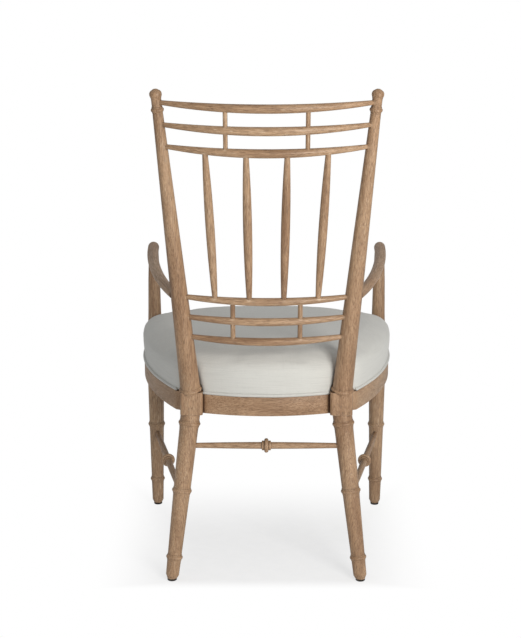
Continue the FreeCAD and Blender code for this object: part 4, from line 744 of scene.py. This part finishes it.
def under_plan(inset):
    """Return the plan outline inside the rails, cut out round the four blocks."""
    corners = []
    for end, side in (("rear", LEFT), ("front", LEFT), ("front", RIGHT), ("rear", RIGHT)):
        reach = (REAR_BLOCK_HALF if end == "rear" else FRONT_BLOCK_HALF) + BLOCK_GAP
        centre = post_centre(end, side)
        inward = 1 if end == "front" else -1
        corners.append(Vector((centre.x - side * reach, centre.y + inward * reach, 0)))
    loop = []
    for word, first, second in zip(RUNS, corners[-1:] + corners[:-1], corners):
        front, back = sorted((first.y, second.y))
        run = []
        for n in range(OUTLINE_STEPS + 1):
            spot = arc_point(word, n / OUTLINE_STEPS, inset)
            across = word in ("rear", "front")
            between = abs(spot.x) <= abs(first.x) if across else front <= spot.y <= back
            if between:
                run.append(Vector((spot.x, spot.y, 0)))
        if (run[0] - first).length > (run[-1] - first).length:
            run.reverse()
        loop += [first] + run
    return loop


def post_centre(end, side):
    """Return a post's middle in plan, at the seat rails."""
    word = WORDS[side]
    if end == "front":
        return middle(f"front_glide_{word}")
    low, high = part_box(f"rear_post_{word}")
    inner = low[0] if side == LEFT else high[0]
    return Vector((inner + side * REAR_BLOCK_HALF, low[1] + REAR_BLOCK_HALF, 0))


def make_dust_cover(cloth, metal):
    """Make the black cloth stapled under the rails, sagging a little, and its staples."""
    loop = under_plan(CLOTH_INSET)
    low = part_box("dust_cover")[0][2]
    inner = []
    for column, x in enumerate(np.arange(-0.3, 0.3, CLOTH_MESH)):
        for y in np.arange(-0.36, 0.3, CLOTH_MESH):
            spot = Vector((x + (CLOTH_MESH / 2 if column % 2 else 0), y, 0))
            if inside_loop(spot, loop) and nearest_edge(spot, loop) > CLOTH_MESH * 0.5:
                inner.append(spot)
    points = [p.xy for p in loop] + [p.xy for p in inner]
    edges = [(n, (n + 1) % len(loop)) for n in range(len(loop))]
    verts, _, faces, *_ = geometry.delaunay_2d_cdt(points, edges, [], 1, 1e-6)
    mesh = bpy.data.meshes.new("dust_cloth")
    shaped = []
    for v in verts:
        depth = nearest_edge(Vector((v.x, v.y, 0)), loop)
        sag = CLOTH_SAG * min(1.0, depth / SAG_REACH) ** 0.7
        pucker = noise.noise(Vector((v.x * 30, v.y * 30, 0))) * 0.5 * MM * math.exp(-depth / 0.03)
        ripple = noise.noise(Vector((v.x * 9, v.y * 14, 5.0))) * 0.8 * MM * min(1, depth / 0.05)
        shaped.append((v.x, v.y, low + 0.2 * MM - sag + pucker + ripple))
    mesh.from_pydata(shaped, [], [tuple(f) for f in faces])
    mesh.polygons.foreach_set("use_smooth", [True] * len(mesh.polygons))
    piece = new_object("dust_cloth", mesh, [cloth])
    thick = piece.modifiers.new("thickness", "SOLIDIFY")
    thick.thickness = CLOTH_THICKNESS
    thick.offset = 1
    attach(piece, "root")
    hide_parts("dust_cover")
    make_staples(loop, low, metal)


def inside_loop(spot, loop):
    """Say whether a plan point lies inside a closed outline."""
    crossings = False
    for a, b in zip(loop, loop[1:] + loop[:1]):
        if (a.y > spot.y) != (b.y > spot.y):
            if spot.x < a.x + (spot.y - a.y) / (b.y - a.y) * (b.x - a.x):
                crossings = not crossings
    return crossings


def nearest_edge(spot, loop):
    """Return a plan point's distance from a closed outline."""
    best = 1.0
    for a, b in zip(loop, loop[1:] + loop[:1]):
        run = b - a
        length = run.length_squared
        if length < 1e-12:
            continue
        share = max(0.0, min(1.0, (spot - a).dot(run) / length))
        best = min(best, (spot - a - run * share).length)
    return best


def make_staples(loop, low, metal):
    """Make the staples along the dust cloth's edge, as one piece of many wires."""
    rng = random.Random(STAPLE_SEED)
    build = bmesh.new()
    travelled, due = 0.0, STAPLE_START
    for a, b in zip(loop, loop[1:] + loop[:1]):
        run = b - a
        while run.length > 0.002 and travelled + run.length > due:
            spot = a + run * ((due - travelled) / run.length)
            along = run.normalized()
            into = Vector((-along.y, along.x, 0))
            if not inside_loop(spot + into * 0.004, loop):
                into = -into
            turn = rng.uniform(-STAPLE_TURN, STAPLE_TURN)
            way = (along * math.cos(turn) + into * math.sin(turn)).normalized()
            add_staple(build, spot + into * STAPLE_INSET + Vector((0, 0, low)), way)
            due += STAPLE_SPACING + rng.uniform(-STAPLE_JITTER, STAPLE_JITTER)
        travelled += run.length
    mesh = bpy.data.meshes.new("dust_cloth_staples")
    build.to_mesh(mesh)
    build.free()
    piece = new_object("dust_cloth_staples", mesh, [metal])
    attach(piece, "root")


def add_staple(build, spot, way):
    """Add one staple's crown and its two bent legs to a mesh."""
    wire, half = STAPLE_WIRE, STAPLE_HALF
    bend = half - 0.3 * MM
    side = Vector((-way.y, way.x, 0))
    leg, crown = Vector((0, 0, 1.5 * MM)), Vector((0, 0, -0.9 * MM))
    profile = [spot - way * half + leg, spot - way * bend + crown,
               spot + way * bend + crown, spot + way * half + leg]
    rings = []
    for n, place in enumerate(profile):
        before, after = profile[max(n - 1, 0)], profile[min(n + 1, 3)]
        square = (after - before).normalized().cross(side).normalized()
        rings.append([build.verts.new(place + side * (a * wire) + square * (b * wire))
                      for a, b in ((-1, -0.5), (1, -0.5), (1, 0.5), (-1, 0.5))])
    for first, second in zip(rings, rings[1:]):
        for k in range(4):
            build.faces.new((first[k], first[(k + 1) % 4], second[(k + 1) % 4], second[k]))
    build.faces.new(rings[0][::-1])
    build.faces.new(rings[-1])


# ---------------------------------------------------------------- stage, lights, camera


def floor_material():
    """Make a pale floor glowing plain white away from the chair: painted light over its shadow."""
    shader = Shader("pale_floor")
    place = shader.add("TexCoord").outputs["Object"]
    x, y, _ = shader.add("SeparateXYZ", {0: place}).outputs
    # painted light: only in this zone round the chair does the floor keep some of its shadow
    sideways = shader.ramp(shader.math("ABSOLUTE", x), 0.15, 0.36)
    behind = shader.ramp(y, 0.2, 0.25)
    ahead = shader.ramp(y, 0.0, -0.42)
    fade = shader.math("MAXIMUM", shader.math("MAXIMUM", sideways, behind), ahead)
    fade = shader.math("ADD", shader.math("MULTIPLY", fade, 1 - FLOOR_GLOW), FLOOR_GLOW)
    seen = shader.add("LightPath").outputs["Is Camera Ray"]
    grain = shader.noise(place, 30.0, 3.0)
    colour = shader.mix(shader.ramp(grain, 0.3, 0.7), linear(240, 240, 240), linear(247, 247, 247))
    plain = shader.add("BsdfDiffuse", {"Color": colour})
    bright = shader.add("Emission", {"Color": (1, 1, 1, 1), "Strength": 1.0})
    share = shader.math("MULTIPLY", fade, seen)
    return shader.finish(shader.add("MixShader", {0: share, 1: plain.outputs[0],
                                                  2: bright.outputs[0]}))


def make_stage():
    """Make the floor."""
    mesh = bpy.data.meshes.new("floor")
    half = FLOOR_HALF
    mesh.from_pydata([(-half, -half, 0), (half, -half, 0), (half, half, 0), (-half, half, 0)],
                     [], [(0, 1, 2, 3)])
    floor = new_object("floor", mesh, [floor_material()])


def light(name, spot, aim, across, power, colour):
    """Add a square soft light aimed at a point."""
    data = bpy.data.lights.new(name, "AREA")
    data.shape = "SQUARE"
    data.size = across
    data.energy = power
    data.color = colour
    lamp = bpy.data.objects.new(name, data)
    lamp.location = spot
    lamp.rotation_mode = "QUATERNION"
    lamp.rotation_quaternion = (Vector(aim) - Vector(spot)).to_track_quat("-Z", "Y")
    scene.collection.objects.link(lamp)


def make_world():
    """Surround the chair with a soft room that is seen as plain white."""
    world = bpy.data.worlds.new("studio")
    scene.world = world
    world.use_nodes = True
    tree = world.node_tree
    tree.nodes.clear()

    def node(kind, inputs, **settings):
        made = tree.nodes.new("ShaderNode" + kind)
        for key, setting in settings.items():
            setattr(made, key, setting)
        for key, value in inputs.items():
            if isinstance(value, bpy.types.NodeSocket):
                tree.links.new(value, made.inputs[key])
            else:
                made.inputs[key].default_value = value
        return made

    x, y, z = node("SeparateXYZ", {0: node("TexCoord", {}).outputs["Generated"]}).outputs
    upward = node("MapRange", {0: z, 1: -0.1, 2: 1.0, 3: ROOM_SIDE, 4: ROOM_TOP}).outputs[0]
    across = node("MapRange", {0: x, 1: -1.0, 2: 1.0, 3: 0.98, 4: 0.9}).outputs[0]
    rear = node("MapRange", {0: y, 1: -1.0, 2: 1.0, 3: 1.0, 4: 1.15}).outputs[0]
    level = node("Math", {0: upward, 1: across}, operation="MULTIPLY").outputs[0]
    level = node("Math", {0: level, 1: rear}, operation="MULTIPLY").outputs[0]
    room = node("Background", {"Color": (0.97, 0.985, 1.0, 1.0), "Strength": level})
    white = node("Background", {"Color": (1, 1, 1, 1), "Strength": 1.0})
    seen = node("LightPath", {}).outputs["Is Camera Ray"]
    both = node("MixShader", {0: seen, 1: room.outputs[0], 2: white.outputs[0]})
    output = tree.nodes.new("ShaderNodeOutputWorld")
    tree.links.new(both.outputs[0], output.inputs["Surface"])


def make_lights():
    """Light the chair softly from beside the camera."""
    make_world()
    light("key", KEY_PLACE, KEY_AIM, KEY_ACROSS, KEY_POWER, KEY_COLOUR)
    scene.view_settings.view_transform = "Standard"
    scene.view_settings.look = "None"


def make_camera():
    """Look at the chair's back from a little above."""
    data = bpy.data.cameras.new("camera")
    data.sensor_width = SENSOR
    data.lens = LENS
    camera = bpy.data.objects.new("camera", data)
    front = middle("front_glide_left").y
    camera.location = (0, front + CAMERA_BEHIND, CAMERA_HEIGHT)
    camera.rotation_mode = "XYZ"
    camera.rotation_euler = Euler((math.radians(90 - CAMERA_PITCH), 0,
                                   math.radians(180 + CAMERA_TURN)))
    scene.collection.objects.link(camera)
    scene.camera = camera


# ---------------------------------------------------------------- the chair

paint_wood()
metal = steel()
dark = nylon()
for node in ("corner_block_screws", "seat_screws"):
    paint(node, metal)
for end in ("front", "rear"):
    for word in WORDS.values():
        paint(f"{end}_glide_{word}", dark)
linen = woven("linen", LINEN_THREAD, linear(217, 216, 210), linear(184, 183, 177), LINEN_RELIEF)
welt_linen = woven("welt_linen", WELT_THREAD, linear(214, 213, 207), linear(176, 175, 169),
                   WELT_RELIEF)
nonwoven = woven("nonwoven", NONWOVEN_THREAD, linear(36, 36, 37), linear(19, 19, 20),
                 NONWOVEN_RELIEF, slub=0.5, sheen=0.1)
make_cushion(linen)
make_welts(welt_linen)
make_dust_cover(nonwoven, metal)
make_stage()
make_lights()
make_camera()
